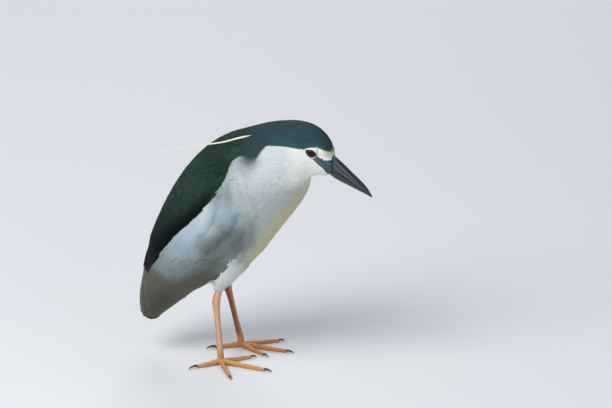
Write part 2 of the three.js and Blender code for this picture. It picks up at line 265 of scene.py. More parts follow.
def eye_frame(side):
    """The middle of an eyeball and its outward, forward and upward directions; side -1 is the right."""
    node = "eye_left" if side > 0 else "eye_right"
    middle = np.array([EYES_AT[0], to_ruler(node_middle(node))[1], EYES_AT[2]])
    outward = np.array([0.04, side, -0.04])
    outward /= np.linalg.norm(outward)
    upward = np.array([0.0, 0.0, 1.0]) - outward * outward[2]
    upward /= np.linalg.norm(upward)
    forward = np.cross(outward, upward) * side
    forward *= np.sign(forward[0])
    return middle, outward, forward, upward


OPENING_LONG = 57
OPENING_HIGH = 37


def opening(angle):
    """Half the opening between the lids, in degrees on the eyeball; 0 is forwards, a quarter turn up."""
    along = np.abs(np.cos(angle - EYE_SLANT)) / OPENING_LONG
    beside = np.abs(np.sin(angle - EYE_SLANT)) / OPENING_HIGH
    return (along**1.6 + beside**1.6) ** (-1 / 1.6)


def past_opening(points, side):
    """Degrees on the eyeball from the edge of the opening to each point."""
    middle, outward, forward, upward = eye_frame(side)
    away = points - middle
    away /= np.linalg.norm(away, axis=1)[:, None]
    angle = np.arctan2(away @ upward, away @ forward)
    return np.degrees(np.arccos(np.clip(away @ outward, -1, 1))) - opening(angle)


def by_opening(places, margin):
    """Places on the opening between the lids, or less than margin degrees from its edge."""
    near = np.zeros(len(places), dtype=bool)
    for side in (-1, 1):
        close = np.linalg.norm(places - eye_frame(side)[0], axis=1) < 11
        near |= close & (past_opening(places, side) < margin)
    return near


# %% Folds of the plumage
# Each fold: depth and half width in millimetres, and its run in the side view.
FOLDS = [
    (3.4, 4.6, [(9, 246), (8, 231), (3, 212), (-7, 195), (-18, 186)]),
    (3.8, 4.8, [(36, 222), (30, 204), (15, 186), (-1, 169), (-10, 164)]),
    (2.6, 4.5, [(26, 268), (26, 246), (29, 228), (34, 216)]),
    (2.0, 4.0, [(20, 196), (30, 180), (32, 164)]),
    (2.4, 4.0, [(57, 218), (56, 198), (51, 178), (44, 162), (36, 150)]),
]


def beside_path(places, path):
    """Distance in the side view from each place to a path of straight pieces."""
    nearest = np.full(len(places), np.inf)
    side = places[:, [0, 2]]
    for start, end in zip(path[:-1], path[1:]):
        start, step = np.array(start, dtype=float), np.subtract(end, start)
        share = np.clip(((side - start) @ step) / (step @ step), 0, 1)
        nearest = np.minimum(nearest, np.linalg.norm(side - start - share[:, None] * step, axis=1))
    return nearest


def folded(points, normals):
    """Press the folds into the flanks."""
    flank = np.clip((np.abs(points[:, 1]) - 18) / 12, 0, 1)
    for depth, half, path in FOLDS:
        dent = depth * np.exp(-((beside_path(points, path) / half) ** 2)) * flank
        points = points - normals * dent[:, None]
    return points


def domed(points):
    """Push points out round each eye: just below the eyeball in the opening, to the lids beside it."""
    for side in (-1, 1):
        away = points - eye_frame(side)[0]
        far = np.linalg.norm(away, axis=1)
        beside = np.clip((past_opening(points, side) - 3) / 6, 0, 1)
        radius = EYE_RADIUS - 0.25 + 0.6 * beside
        push = np.maximum(radius - far, 0) * (points[:, 1] * side > 0)
        points = points + away / far[:, None] * push[:, None]
    return points


# %% The body form
def nodes_of(*kinds):
    return sorted(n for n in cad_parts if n.split("_")[0] in kinds)


BODY_NODES = nodes_of("trunk", "neck", "head", "tail", "wing", "thigh")
LEG_NODES = nodes_of("shank", "toe")
SWELL = 0.8
FORM_VOXEL = 2.5

form = joined_nodes("form", BODY_NODES, SWELL)
add_modifier(form, "REMESH", mode="VOXEL", voxel_size=FORM_VOXEL * MM)
add_modifier(form, "SMOOTH", factor=0.5, iterations=6)
form_mesh = settle(form)
unswollen = point_array(form_mesh) - normal_array(form_mesh) * SWELL
set_points(form_mesh, folded(unswollen, normal_array(form_mesh)))
FORM_POINTS = point_array(form_mesh)
FORM_NORMALS = normal_array(form_mesh)
FORM_EDGES = edge_array(form_mesh)
print("body form:", len(FORM_POINTS), "points")

# %% [markdown]
# ## Who owns each place
# Feathers differ between head, wing and tail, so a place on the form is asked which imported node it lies
# on. The nearest face of the nodes answers that. The same search tree type then serves for the walk over
# the form.


# %% Search trees
def face_lists(mesh):
    return [tuple(p.vertices) for p in mesh.polygons]


owner_points = []
owner_faces = []
owner_names = []
for owner_name in BODY_NODES:
    owner_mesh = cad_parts[owner_name].data
    shift = len(owner_points)
    owner_points.extend(point_array(owner_mesh).tolist())
    owner_faces.extend(tuple(i + shift for i in f) for f in face_lists(owner_mesh))
    owner_names.extend([owner_name] * len(owner_mesh.polygons))
OWNER_TREE = BVHTree.FromPolygons(owner_points, owner_faces)


def owner_of(place):
    return owner_names[OWNER_TREE.find_nearest(place)[2]]


walk_form = form.copy()
walk_form.data = form_mesh.copy()
bpy.context.scene.collection.objects.link(walk_form)
add_modifier(walk_form, "SUBSURF", levels=1)
walk_mesh = settle(walk_form)
COAT_TREE = BVHTree.FromPolygons(point_array(walk_mesh).tolist(), face_lists(walk_mesh))
print("search trees:", len(owner_faces), "and", len(walk_mesh.polygons), "faces")
bpy.data.objects.remove(walk_form)
EYE_MIDDLES = {side: Vector(eye_frame(side)[0]) for side in (-1, 1)}


def coat_surface(place):
    """The nearest place on the coat and its normal, or the dome of the lids where they stand out."""
    at, normal = COAT_TREE.find_nearest(place)[:2]
    if at.x > 112 and at.z > 296:
        middle = EYE_MIDDLES[1 if at.y > 0 else -1]
        away = Vector(place) - middle
        if 1 < away.length < 14:
            away.normalize()
            dome = middle + away * LID_DOME
            near, out = COAT_TREE.find_nearest(dome)[:2]
            if (dome - near).dot(out) > 0:
                return dome, away
    return at, normal


FORM_FACES = np.array([tuple(p.vertices) for p in form_mesh.polygons])
FACE_CENTRES = FORM_POINTS[FORM_FACES].mean(axis=1)
FACE_OWNERS = np.array([owner_of(c) for c in FACE_CENTRES])
WING_HEM = np.array([(-94, 45), (-70, 64), (-40, 93), (-6, 119), (19, 146), (38, 165)])
above_hem = FACE_CENTRES[:, 2] > np.interp(FACE_CENTRES[:, 0], WING_HEM[:, 0], WING_HEM[:, 1])
under_wing = np.char.startswith(FACE_OWNERS, "thigh") & above_hem & (FACE_CENTRES[:, 0] < 24)
FACE_OWNERS[under_wing & (FACE_CENTRES[:, 1] < 0)] = "wing_right"
FACE_OWNERS[under_wing & (FACE_CENTRES[:, 1] > 0)] = "wing_left"
by_knee = ~above_hem & (FACE_CENTRES[:, 0] > -16) & (FACE_CENTRES[:, 2] < 150)
by_knee &= np.abs(FACE_CENTRES[:, 1]) > 14
FACE_OWNERS[by_knee & (FACE_CENTRES[:, 1] < 0)] = "thigh_right"
FACE_OWNERS[by_knee & (FACE_CENTRES[:, 1] > 0)] = "thigh_left"
print({name: int((FACE_OWNERS == name).sum()) for name in BODY_NODES})

# %% [markdown]
# ## Markings as zones
# The bird wears a dark cap and mantle, a pale neck and breast, grey wings and bare blue-green skin before
# the eye. Seen from the side each border is one line, the same on both sides of the bird, so the markings
# are a few lines on the ruler and a short palette. Skin and feathers both ask the same function
# for their colour.


# %% Palette and borders
def linear(red, green, blue):
    """An 8-bit screen colour as the linear numbers that shaders use."""
    value = np.array([red, green, blue]) / 255
    return np.where(value > 0.04045, ((value + 0.055) / 1.055) ** 2.4, value / 12.92)


CAP = linear(52, 76, 82)
CAP_LOW = linear(50, 88, 100)
MANTLE = linear(40, 63, 54)
MANTLE_LOW = linear(4, 13, 15)
NECK = linear(210, 219, 224)
BREAST = linear(176, 187, 186)
SHOULDER = linear(142, 156, 162)
CHEEK = linear(244, 247, 240)
THIGH = linear(216, 223, 222)
CREAM_AND_SHADE = linear(196, 190, 142)
SMUDGE = linear(84, 98, 98)
BROW = linear(214, 218, 186)
WING_PALE = linear(160, 173, 180)
WING_LIGHT = linear(170, 187, 198)
WING_LIT = linear(196, 210, 218)
WING_BLUE = linear(150, 168, 180)
WING_GREY = linear(114, 128, 128)
WING_FOLD_SHADE = linear(96, 107, 101)
WING_BROWN = linear(82, 84, 70)
WING_TIP = linear(68, 69, 58)
# Spots of tone over the wing, blended by distance in the side view. Besides the grey of the feathers they
# hold painted shade and light: the darkest greys are painted shade in the folds and at the bend of the wing,
# and the brightest spots are painted light on the upper wing, where its shape turns from the light.
WING_SPOTS = [
    (8, 248, SHOULDER), (-7, 223, WING_LIT), (-21, 208, WING_LIGHT), (-36, 194, WING_LIGHT),
    (-50, 178, WING_BLUE), (22, 280, WING_PALE), (35, 255, WING_PALE), (20, 250, SHOULDER),
    (48, 238, WING_PALE), (24, 232, WING_LIGHT), (10, 228, WING_BLUE), (4, 212, WING_GREY),
    (34, 218, WING_BLUE), (20, 213, WING_BLUE), (48, 218, WING_GREY), (-12, 181, WING_GREY),
    (-11, 207, WING_LIT), (-27, 199, WING_LIGHT), (24, 200, WING_FOLD_SHADE), (44, 200, WING_FOLD_SHADE),
    (6, 180, WING_FOLD_SHADE), (36, 180, WING_FOLD_SHADE), (26, 172, WING_GREY), (15, 167, WING_GREY),
    (-2, 167, WING_FOLD_SHADE), (-32, 164, WING_BLUE), (-31, 152, WING_GREY), (-10, 147, WING_FOLD_SHADE),
    (8, 150, WING_FOLD_SHADE), (-62, 155, WING_BLUE), (-75, 150, WING_GREY), (-55, 136, WING_GREY),
    (-36, 112, WING_BROWN), (-18, 125, WING_BROWN), (-58, 104, WING_BROWN), (-90, 110, WING_BROWN),
    (-78, 84, WING_TIP), (-100, 80, WING_TIP), (-89, 60, WING_TIP),
]
LORE_SKIN = linear(74, 108, 120)
LORE_STREAK = linear(30, 50, 60)
HORN_DARK = linear(30, 36, 38)
HORN_GREY = linear(92, 102, 94)
HORN_LOW = linear(50, 66, 70)
HORN_TIP_HIGHLIGHT = linear(62, 60, 54)
LID_SKIN = linear(176, 186, 172)
LID_EDGE = linear(46, 56, 58)
# The legs' orange skin, then a painted-light and a painted-shade tone of it.
LEG_SKIN = linear(204, 130, 68)
LEG_LIT = linear(224, 194, 150)
LEG_SHADE = linear(146, 74, 36)

DARK_EDGE = np.array([
    (-140, 122), (-99, 122), (-96, 128), (-85, 144), (-77, 159), (-56, 187), (-36, 205), (-25, 216),
    (-6, 240), (2, 250), (10, 261), (16, 274), (19, 287), (23, 297), (29, 302), (36, 302), (42, 299),
    (48, 297), (54, 299), (58, 305), (62, 312), (67, 317.5), (90, 317.5), (105, 315.5), (116, 314),
    (120, 315.5), (127, 317), (134, 316.5), (139, 314), (144, 311.5), (149, 309), (156, 308),
])
SHADED_FRONT_EDGE = np.array([(34, 154), (45, 172), (63, 200), (80, 223), (100, 244), (111, 262), (119, 266)])
WING_FRONT = np.array([(28, 146), (37, 160), (44, 172), (48, 195), (48, 211), (40, 235), (22, 285)])
WING_SPOT_SIZE = 9.5
LORE = np.array([
    (131, 306), (135, 306), (139, 302.5), (146, 298.6), (150, 298), (157, 297),
    (157, 284), (154, 277), (146, 277), (143, 280.5), (141, 285.5), (134, 293), (128, 300), (127, 303),
])

LORE_CORE = LORE.mean(axis=0) + 0.84 * (LORE - LORE.mean(axis=0))


def inside(outline, places):
    """Which places lie inside an outline in the side view."""
    x, z = places[:, 0], places[:, 2]
    odd = np.zeros(len(places), dtype=bool)
    for (x0, z0), (x1, z1) in zip(outline, np.roll(outline, -1, axis=0)):
        crosses = (z0 > z) != (z1 > z)
        reach = (x1 - x0) * (z - z0) / (z1 - z0 if z1 != z0 else 1) + x0
        odd ^= crosses & (x < reach)
    return odd


def smooth(low, high, value):
    share = np.clip((value - low) / (high - low), 0, 1)
    return share * share * (3 - 2 * share)


def blend(first, second, share):
    share = np.asarray(share)[..., None]
    return first * (1 - share) + second * share


def above_dark_edge(places):
    """Height in millimetres over the border of the cap and mantle."""
    return places[:, 2] - np.interp(places[:, 0], DARK_EDGE[:, 0], DARK_EDGE[:, 1])


# %% The colour of bill and lore
BILL_AXIS = np.array([0.80, 0.0, -0.60])
BILL_UP = np.array([0.60, 0.0, 0.80])
BILL_BASE = np.array([148.0, 0.0, 289.0])
BILL_RUN = 76
BILL_HALF = 13.5


def bill_place(places):
    """Run along the bill in millimetres, and height over its axis as a share of its half height there."""
    run = (places - BILL_BASE) @ BILL_AXIS
    half = np.maximum(BILL_HALF * (1 - run / BILL_RUN), 1.5)
    return run, (places - BILL_BASE) @ BILL_UP / half


def bill_tone(places):
    """Blue-green skin that turns into horn, with streaks that run on from one to the other."""
    run, high = bill_place(places)
    wide = 0.5 + 0.5 * np.sin(high * 15 + 0.5 * np.sin(run * 0.11) + 0.8)
    narrow = 0.5 + 0.5 * np.sin(high * 43 + 1.4 * np.sin(run * 0.17 + high * 3))
    streak = smooth(0.25, 0.75, 0.5 * wide + 0.5 * narrow)
    bare = blend(LORE_SKIN, LORE_STREAK, streak * smooth(-24, -8, run))
    side = smooth(0.9, 0.7, high) * smooth(-0.1, 0.1, high)
    horn = blend(HORN_DARK, HORN_GREY, side * (1 - streak) * 0.9)
    horn = blend(horn, HORN_LOW, smooth(-0.1, -0.3, high) * (1 - 0.7 * streak))
    # Painted highlight: towards its tip the horn turns a paler brown.
    horn = blend(horn, HORN_TIP_HIGHLIGHT, 0.6 * smooth(50, 66, run) * (1 - 0.5 * streak))
    tone = blend(bare, horn, smooth(-6, 16, run))
    return blend(tone, CREAM_AND_SHADE, 0.8 * smooth(-0.82, -0.95, high) * smooth(24, 8, run))


# %% The colour of every place
def dark_tone(places):
    x, z = places[:, 0], places[:, 2]
    # Painted sheen: the upper mantle is lighter, near-black plumage glossed by the sky; it darkens towards
    # the bottom and along its lower border.
    tone = blend(MANTLE_LOW, MANTLE, smooth(150, 250, z))
    low_side = smooth(34, 4, above_dark_edge(places)) * smooth(20, -20, x)
    tone = blend(tone, MANTLE_LOW, 0.95 * low_side)
    # Painted shadow of the neck over the mantle, just below the nape.
    neck_shadow = np.exp(-(((x - 3) / 18) ** 2) - ((z - 285) / 16) ** 2)
    tone = blend(tone, MANTLE_LOW, 0.45 * neck_shadow)
    tone = blend(tone, CAP, smooth(15, 60, x))
    low_cap = smooth(14, 0, above_dark_edge(places)) * smooth(60, 85, x) * smooth(150, 135, x)
    return blend(tone, CAP_LOW, low_cap)


def pale_tone(places):
    x, z = places[:, 0], places[:, 2]
    tone = blend(BREAST, NECK, smooth(240, 295, z))
    by_mantle = smooth(-34, -6, above_dark_edge(places)) * smooth(66, 40, x)
    tone = blend(tone, SHOULDER, 0.75 * by_mantle)
    tone = blend(tone, THIGH, smooth(165, 140, z) * smooth(60, 30, x))
    tone = blend(tone, CHEEK, smooth(84, 112, x) * smooth(255, 275, z))
    # Painted shade: the front of the breast, turned away from the light, is tinted a darker olive cream.
    ahead = x - np.interp(z, SHADED_FRONT_EDGE[:, 1], SHADED_FRONT_EDGE[:, 0])
    tone = blend(tone, CREAM_AND_SHADE, 0.85 * smooth(-11, 17, ahead) * smooth(278, 244, z))
    # Painted shadow: just ahead of the folded wing's front edge the breast is greyed, where the bend of the
    # wing shades it.
    shade_by_wing = smooth(-16, -2, behind_wing_front(places)) * smooth(158, 178, z) * smooth(232, 205, z)
    tone = blend(tone, WING_GREY, 0.45 * shade_by_wing)
    smudge = np.exp(-(((x - 47) / 12) ** 2) - ((z - 297) / 7) ** 2)
    tone = blend(tone, SMUDGE, 0.7 * smudge)
    tone = blend(tone, BROW, smooth(138, 146, x) * smooth(300, 306, z))
    return blend(tone, WING_BROWN, smooth(-62, -80, x))


def behind_wing_front(places):
    """How far each place lies behind the front edge of the folded wing."""
    return np.interp(places[:, 2], WING_FRONT[:, 1], WING_FRONT[:, 0]) - places[:, 0]


def wing_tone(places):
    spots = np.array([(x, z) for x, z, _ in WING_SPOTS])
    tones = np.array([tone for _, _, tone in WING_SPOTS])
    gap = places[:, None, [0, 2]] - spots[None]
    weight = np.exp(-(gap**2).sum(axis=2) / (2 * WING_SPOT_SIZE**2)) + 1e-9
    tone = weight @ tones / weight.sum(axis=1)[:, None]
    return blend(tone, pale_tone(places), 0.6 * smooth(12, 0, behind_wing_front(places)))


def coat_tone(places):
    """Pale under the border of cap and mantle, dark over it; the border blurs at the nape."""
    blur = 0.5 + 5 * np.exp(-(((places[:, 0] - 47) / 11) ** 2))
    over = 0.5 + 0.5 * above_dark_edge(places) / blur
    return blend(pale_tone(places), dark_tone(places), smooth(0, 1, over))


def skin_tone(places, on_wing):
    """The colour of the skin, and of the feather that grows at each place."""
    tone = pale_tone(places)
    tone[on_wing] = wing_tone(places[on_wing])
    tone = blend(tone, dark_tone(places), smooth(-0.4, 0.4, above_dark_edge(places)))
    return np.where(inside(LORE, places)[:, None], bill_tone(places), tone)


print("palette set,", len(DARK_EDGE), "points on the dark border")

# %% [markdown]
# ## The skin
# Under its feathers a bird is one skin, from the bill to the claws. The body form is drawn inwards by the
# depth of the coat, about two millimetres on the body and half of one on the face, with a finer mesh
# where skin shows: before and around the eye. The legs come from their own nodes by the same remesh,
# finer, and a boolean joins the two.

# %% How deep the coat is
BODY_COAT = 1.8
WING_COAT = 1.5
THIGH_COAT = 2.0
FACE_COAT = 0.6
LORE_COAT = 0.25
EYE_COAT = 0.15


def coat_depth(places, owners):
    x, z = places[:, 0], places[:, 2]
    depth = np.full(len(places), BODY_COAT)
    on_wing = np.char.startswith(owners, "wing")
    depth[on_wing | np.char.startswith(owners, "tail")] = WING_COAT
    on_head = smooth(80, 118, x) * smooth(245, 262, z)
    depth = depth * (1 - on_head) + FACE_COAT * on_head
    by_eye = smooth(13, 9.8, np.linalg.norm(np.abs(places) - np.abs(eye_frame(1)[0]), axis=1))
    depth = depth * (1 - by_eye) + EYE_COAT * by_eye
    depth = np.where(inside(LORE, places), LORE_COAT, depth)
    return np.where(np.char.startswith(owners, "thigh"), THIGH_COAT, depth)


# %% Where the horn starts
BASE_FACING = np.array([0.997, 0.0, -0.071])
SKIN_RUN_ON = 2.2


def under_the_horn(points):
    """The skin round the base of the bill runs on a little way inside the horn, which narrows the groove."""
    x, z = points[:, 0], points[:, 2]
    by_base = (x > 145) & (z > 268) & (z < 299.5)
    facing = points @ BASE_FACING
    behind = facing[by_base].max() - facing
    share = np.where(by_base, smooth(1.3, 0.2, behind) * smooth(299.5, 298, z), 0)[:, None]
    off_axis = points - BILL_BASE - ((points - BILL_BASE) @ BILL_AXIS)[:, None] * BILL_AXIS
    return points + share * (SKIN_RUN_ON * BILL_AXIS - 0.05 * off_axis)


# %% Body part of the skin
def finer(mesh, wanted):
    """Cut in four the faces whose middle is wanted."""
    shape = bmesh.new()
    shape.from_mesh(mesh)
    edges = set()
    for face in shape.faces:
        if wanted(to_ruler(face.calc_center_median())):
            edges.update(face.edges)
    bmesh.ops.subdivide_edges(shape, edges=list(edges), cuts=1, use_grid_fill=True, smooth=0.9)
    bmesh.ops.triangulate(shape, faces=[f for f in shape.faces if len(f.verts) > 4])
    shape.to_mesh(mesh)
    shape.free()


form_owners = np.array([owner_of(p) for p in FORM_POINTS])
skin = form.copy()
skin.name = "skin"
skin.data = form_mesh.copy()
bpy.context.scene.collection.objects.link(skin)
form_depth = spread_out(coat_depth(FORM_POINTS, form_owners), FORM_EDGES, 3)
set_points(skin.data, FORM_POINTS - FORM_NORMALS * form_depth[:, None])
finer(skin.data, lambda p: p[0] > 112 and p[2] > 266)
finer(skin.data, lambda p: p[0] > 113 and 276 < p[2] < 322)
set_points(skin.data, under_the_horn(domed(point_array(skin.data))))
print("body skin:", len(skin.data.vertices), "points")

# %% Legs
LEG_SWELL = 0.4
LEG_FLESH = 0.3
LEG_VOXEL = 0.75
SHANKS = {
    -1: np.array([(2.5, -33, 110), (-3, -33, 89), (3.2, -33, 8.5)]),
    1: np.array([(-1, 35.5, 107), (-6, 36, 88), (12.4, 37, 8.5)]),
}
SCUTE = 3.4
TOE_SCUTE = 2.5

legs = joined_nodes("legs", LEG_NODES, LEG_SWELL)
add_modifier(legs, "REMESH", mode="VOXEL", voxel_size=LEG_VOXEL * MM)
add_modifier(legs, "SMOOTH", factor=0.5, iterations=5)
leg_mesh = settle(legs)


def leg_relief(places, normals):
    """Height of the scutes: broad plates down the shank and over each toe; the toes also swell into pads and
    the heel into a bulge.
    """
    relief = np.zeros(len(places))
    for side, path in SHANKS.items():
        mine = np.sign(places[:, 1]) == side
        ankle = path[2]
        reach = np.hypot(places[:, 0] - ankle[0], places[:, 1] - ankle[1])
        shank = mine & (places[:, 2] > 12) & (reach < 30)
        front = smooth(0.1, 0.75, normals[:, 0])
        step = np.abs(((places[:, 2] + 0.25 * (places[:, 1] - ankle[1])) / SCUTE) % 1 - 0.5) * 2
        groove = smooth(0.72, 1.0, step)
        relief -= np.where(shank, 0.28 * groove * front, 0)
        toes = mine & ~shank
        top = smooth(0.15, 0.6, normals[:, 2])
        step = np.abs((reach / TOE_SCUTE) % 1 - 0.5) * 2
        relief -= np.where(toes, 0.24 * smooth(0.7, 1.0, step) * top * smooth(6, 10, reach), 0)
        pads = np.cos((reach - 7) * math.tau / 15) * smooth(0.2, 0.8, np.abs(normals[:, 1]))
        pads *= smooth(8, 14, reach)
        relief += np.where(toes, 0.22 * pads, 0)
        heel = np.exp(-(((places[:, 2] - path[1][2]) / 5) ** 2))
        relief += np.where(shank, 0.25 * heel * np.abs(normals[:, 1]), 0)
    return relief


leg_points = point_array(leg_mesh) - normal_array(leg_mesh) * (LEG_SWELL - LEG_FLESH)
leg_points += normal_array(leg_mesh) * leg_relief(leg_points, normal_array(leg_mesh))[:, None]
leg_points[:, 2] = np.maximum(leg_points[:, 2], 0.0)
set_points(leg_mesh, leg_points)
print("legs:", len(leg_points), "points, lowest", round(float(leg_points[:, 2].min()), 2))


# %% Lids
LID_AROUND = 64
LID_SECTION = [
    (0.0, 8.6), (1.0, 8.8), (2.5, 8.95), (5.0, 8.95), (16.0, 8.85), (30.0, 8.5), (30.0, 7.6), (4.0, 7.9),
]


def lid_ring(side):
    middle, outward, forward, upward = eye_frame(side)
    points = []
    for k in range(LID_AROUND):
        angle = math.tau * k / LID_AROUND
        away = math.cos(angle) * forward + math.sin(angle) * upward
        for more, reach in LID_SECTION:
            tilt = math.radians(opening(angle) + more)
            points.append(middle + reach * (math.cos(tilt) * outward + math.sin(tilt) * away))
    n = len(LID_SECTION)
    ring = np.array([(k * n + j, k * n + (j + 1) % n) for k in range(LID_AROUND) for j in range(n)])
    after = (ring + n) % (LID_AROUND * n)
    faces = np.column_stack([ring[:, 0], ring[:, 1], after[:, 1], after[:, 0]])
    return make_object("lid", np.array(points), faces if side < 0 else faces[:, ::-1])


def joined_by_boolean(target, other):
    add_modifier(target, "BOOLEAN", operation="UNION", solver="MANIFOLD", object=other)
    settle(target)
    bpy.data.objects.remove(other)


def face_out(target):
    shape = bmesh.new()
    shape.from_mesh(target.data)
    bmesh.ops.recalc_face_normals(shape, faces=shape.faces)
    shape.to_mesh(target.data)
    shape.free()


joined_by_boolean(skin, legs)
for lid_side in (-1, 1):
    lid = lid_ring(lid_side)
    face_out(lid)
    joined_by_boolean(skin, lid)
skin_mesh = skin.data
skin_mesh.shade_smooth()
skin_triangles = sum(len(p.vertices) - 2 for p in skin_mesh.polygons)
print("skin:", len(skin_mesh.vertices), "points,", skin_triangles, "triangles")

# %% Skin colour
TINT = "tint"


def set_tint(mesh, colours):
    """Keep a linear colour at every point, for the finish to read."""
    layer = mesh.color_attributes.new(TINT, "FLOAT_COLOR", "POINT")
    layer.data.foreach_set("color", np.column_stack([colours, np.ones(len(colours))]).ravel())


skin_points = point_array(skin_mesh)
skin_owners = np.array([owner_of(p) for p in skin_points])
skin_colours = skin_tone(skin_points, np.char.startswith(skin_owners, "wing") | (skin_owners == "tail"))
for eye_side in (-1, 1):
    near_eye = np.linalg.norm(skin_points - eye_frame(eye_side)[0], axis=1) < 9.6
    lid_tone = blend(LID_EDGE, LID_SKIN, smooth(3.0, 5.0, past_opening(skin_points, eye_side)))
    on_lid = near_eye & (skin_points[:, 1] * eye_side > 0)
    skin_colours = np.where(on_lid[:, None], lid_tone, skin_colours)
on_leg = (skin_points[:, 2] < 112) & (skin_points[:, 0] > -20) & (np.abs(skin_points[:, 1]) > 14)
on_leg |= skin_points[:, 2] < 20
skin_normals = normal_array(skin_mesh)
# The legs are painted lit and shaded by the way each place faces: the inner sides darker and orange-brown
# (painted shade), the outer sides, the fronts of the shanks and the tops of the toes paler (painted light).
outer = skin_normals[:, 1] * np.sign(skin_points[:, 1])
leg_tone = blend(LEG_SKIN, LEG_SHADE, smooth(0.25, -0.5, outer) * smooth(14, 24, skin_points[:, 2]))
leg_front = skin_normals[:, 0]
leg_lit_share = smooth(0.0, 0.7, outer) * smooth(-0.9, 0.0, leg_front)
leg_lit_share = np.maximum(leg_lit_share, smooth(0.3, 0.9, leg_front) * 0.5)
leg_tone = blend(leg_tone, LEG_LIT, 0.85 * leg_lit_share * (0.3 + 0.7 * smooth(14, 24, skin_points[:, 2])))
toe_top_lit = smooth(0.5, 0.95, skin_normals[:, 2]) * smooth(16, 9, skin_points[:, 2])
leg_tone = blend(leg_tone, LEG_LIT, 0.45 * toe_top_lit)
skin_colours = np.where(on_leg[:, None], leg_tone, skin_colours)
set_tint(skin_mesh, skin_colours)
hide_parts(*BODY_NODES, *LEG_NODES)
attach(skin, "root")
bpy.data.objects.remove(form)

# %% [markdown]
# ## The lie of the coat
# Feathers point away from the bill: back over the crown, down the neck and breast, along the wing to its
# tip. A few strokes drawn on the side view say so, and every place between them takes a blend of the
# nearest strokes, turned into the surface's own plane. The strokes bend round the eye, so no feather
# grows across it.

# %% Strokes of the lie
STROKES = np.array([
    (151, 306, 140, 331), (138, 331, 124, 341), (126, 341, 100, 346), (88, 345, 50, 337),
    (40, 331, 8, 319), (8, 320, -34, 289), (-40, 280, -62, 250), (-60, 262, -92, 193),
    (-95, 190, -110, 140), (-103, 163, -115, 100), (-112, 110, -118, 60), (147, 303, 138, 309),
    (139, 309, 128, 319), (128, 320, 112, 319), (110, 312, 96, 312), (138, 296, 126, 292),
    (128, 298, 116, 299), (118, 300, 100, 300), (140, 284, 118, 276), (145, 271, 125, 266),
    (95, 300, 72, 282), (70, 312, 50, 300), (118, 262, 104, 228), (80, 262, 62, 228), (60, 290, 42, 262),
    (100, 220, 75, 188), (55, 157, 25, 128), (62, 200, 44, 170), (20, 180, -20, 130), (44, 250, 18, 206),
    (8, 240, -20, 200), (20, 210, -6, 168), (-20, 170, -62, 118), (10, 160, -30, 118),
    (-50, 160, -84, 112), (-60, 92, -92, 54), (-90, 110, -106, 70), (25, 148, 8, 112),
    (-20, 118, -60, 84), (-70, 76, -100, 50),
], dtype=float)
STROKE_AT = (STROKES[:, :2] + STROKES[:, 2:]) / 2
STROKE_WAY = STROKES[:, 2:] - STROKES[:, :2]
STROKE_WAY /= np.linalg.norm(STROKE_WAY, axis=1)[:, None]


def lie(places):
    """The way the feathers point in the side view, as directions in space."""
    gap = places[:, None, [0, 2]] - STROKE_AT[None]
    weight = 1 / ((gap**2).sum(axis=2) + 16) ** 1.6
    way = weight @ STROKE_WAY
    way /= np.linalg.norm(way, axis=1)[:, None]
    return np.column_stack([way[:, 0], np.zeros(len(way)), way[:, 1]])


print(len(STROKES), "strokes of the lie")

# %% [markdown]
# ## Roots
# Real feathers grow in even quincunx rows. Random places that keep a set distance from each other look
# much the same and work on any shape. They are drawn over chosen faces of the form, each draw with a seed
# of its own.


# %% Scattering roots
def scatter(chosen, spacing, seed, crowding=7):
    """Places at least `spacing` millimetres apart over the chosen faces of the form."""
    draw = np.random.default_rng(seed)
    quads = FORM_POINTS[FORM_FACES[chosen]]
    first = quads[:, 1] - quads[:, 0]
    second = quads[:, 3] - quads[:, 0]
    area = np.linalg.norm(np.cross(first, second), axis=1)
    total = int(area.sum() / spacing**2 * crowding)
    pick = draw.choice(len(quads), total, p=area / area.sum())
    share = draw.random((2, total))
    places = quads[pick, 0] + first[pick] * share[0][:, None] + second[pick] * share[1][:, None]
    cells = np.floor(places / spacing).astype(int).tolist()
    taken = {}
    kept = []
    least = spacing * spacing
    for number, ((i, j, k), (x, y, z)) in enumerate(zip(cells, places.tolist())):
        free = True
        for cell in ((i + a, j + b, k + c) for a in (0, -1, 1) for b in (0, -1, 1) for c in (0, -1, 1)):
            for p, q, r in taken.get(cell, ()):
                if (p - x) ** 2 + (q - y) ** 2 + (r - z) ** 2 < least:
                    free = False
                    break
            if not free:
                break
        if free:
            taken.setdefault((i, j, k), []).append((x, y, z))
            kept.append(number)
    return places[kept]


# %% Walking over the form
def walk(places, headings, lengths, stations, hang=False):
    """Follow the coat from each place, or hang straight off it; gives places, normals and headings."""
    count, steps = len(places), len(stations)
    track = np.empty((3, count, steps, 3))
    strides = [*np.diff(stations), 0]
    for f, (place, heading, length) in enumerate(zip(places.tolist(), headings.tolist(), lengths.tolist())):
        at = Vector(place)
        way = Vector(heading)
        for s, stride in enumerate(strides):
            if s == 0 or not hang:
                at, normal = coat_surface(at)
                way = (way - normal * way.dot(normal)).normalized()
            track[0, f, s] = at
            track[1, f, s] = normal
            track[2, f, s] = way
            at = at + way * (stride * length)
    return track


# %% [markdown]
# ## One vane, many times
# A feather that lies in a coat is a thin blade: a raised shaft, two vanes that fall away from it, and an
# end that is frayed or rounded. One recipe gives rows across and columns along. All feathers of a piece
# are computed in one go as arrays, and joined in one mesh: closed, so that it is solid, with a single
# line of points below the shaft.

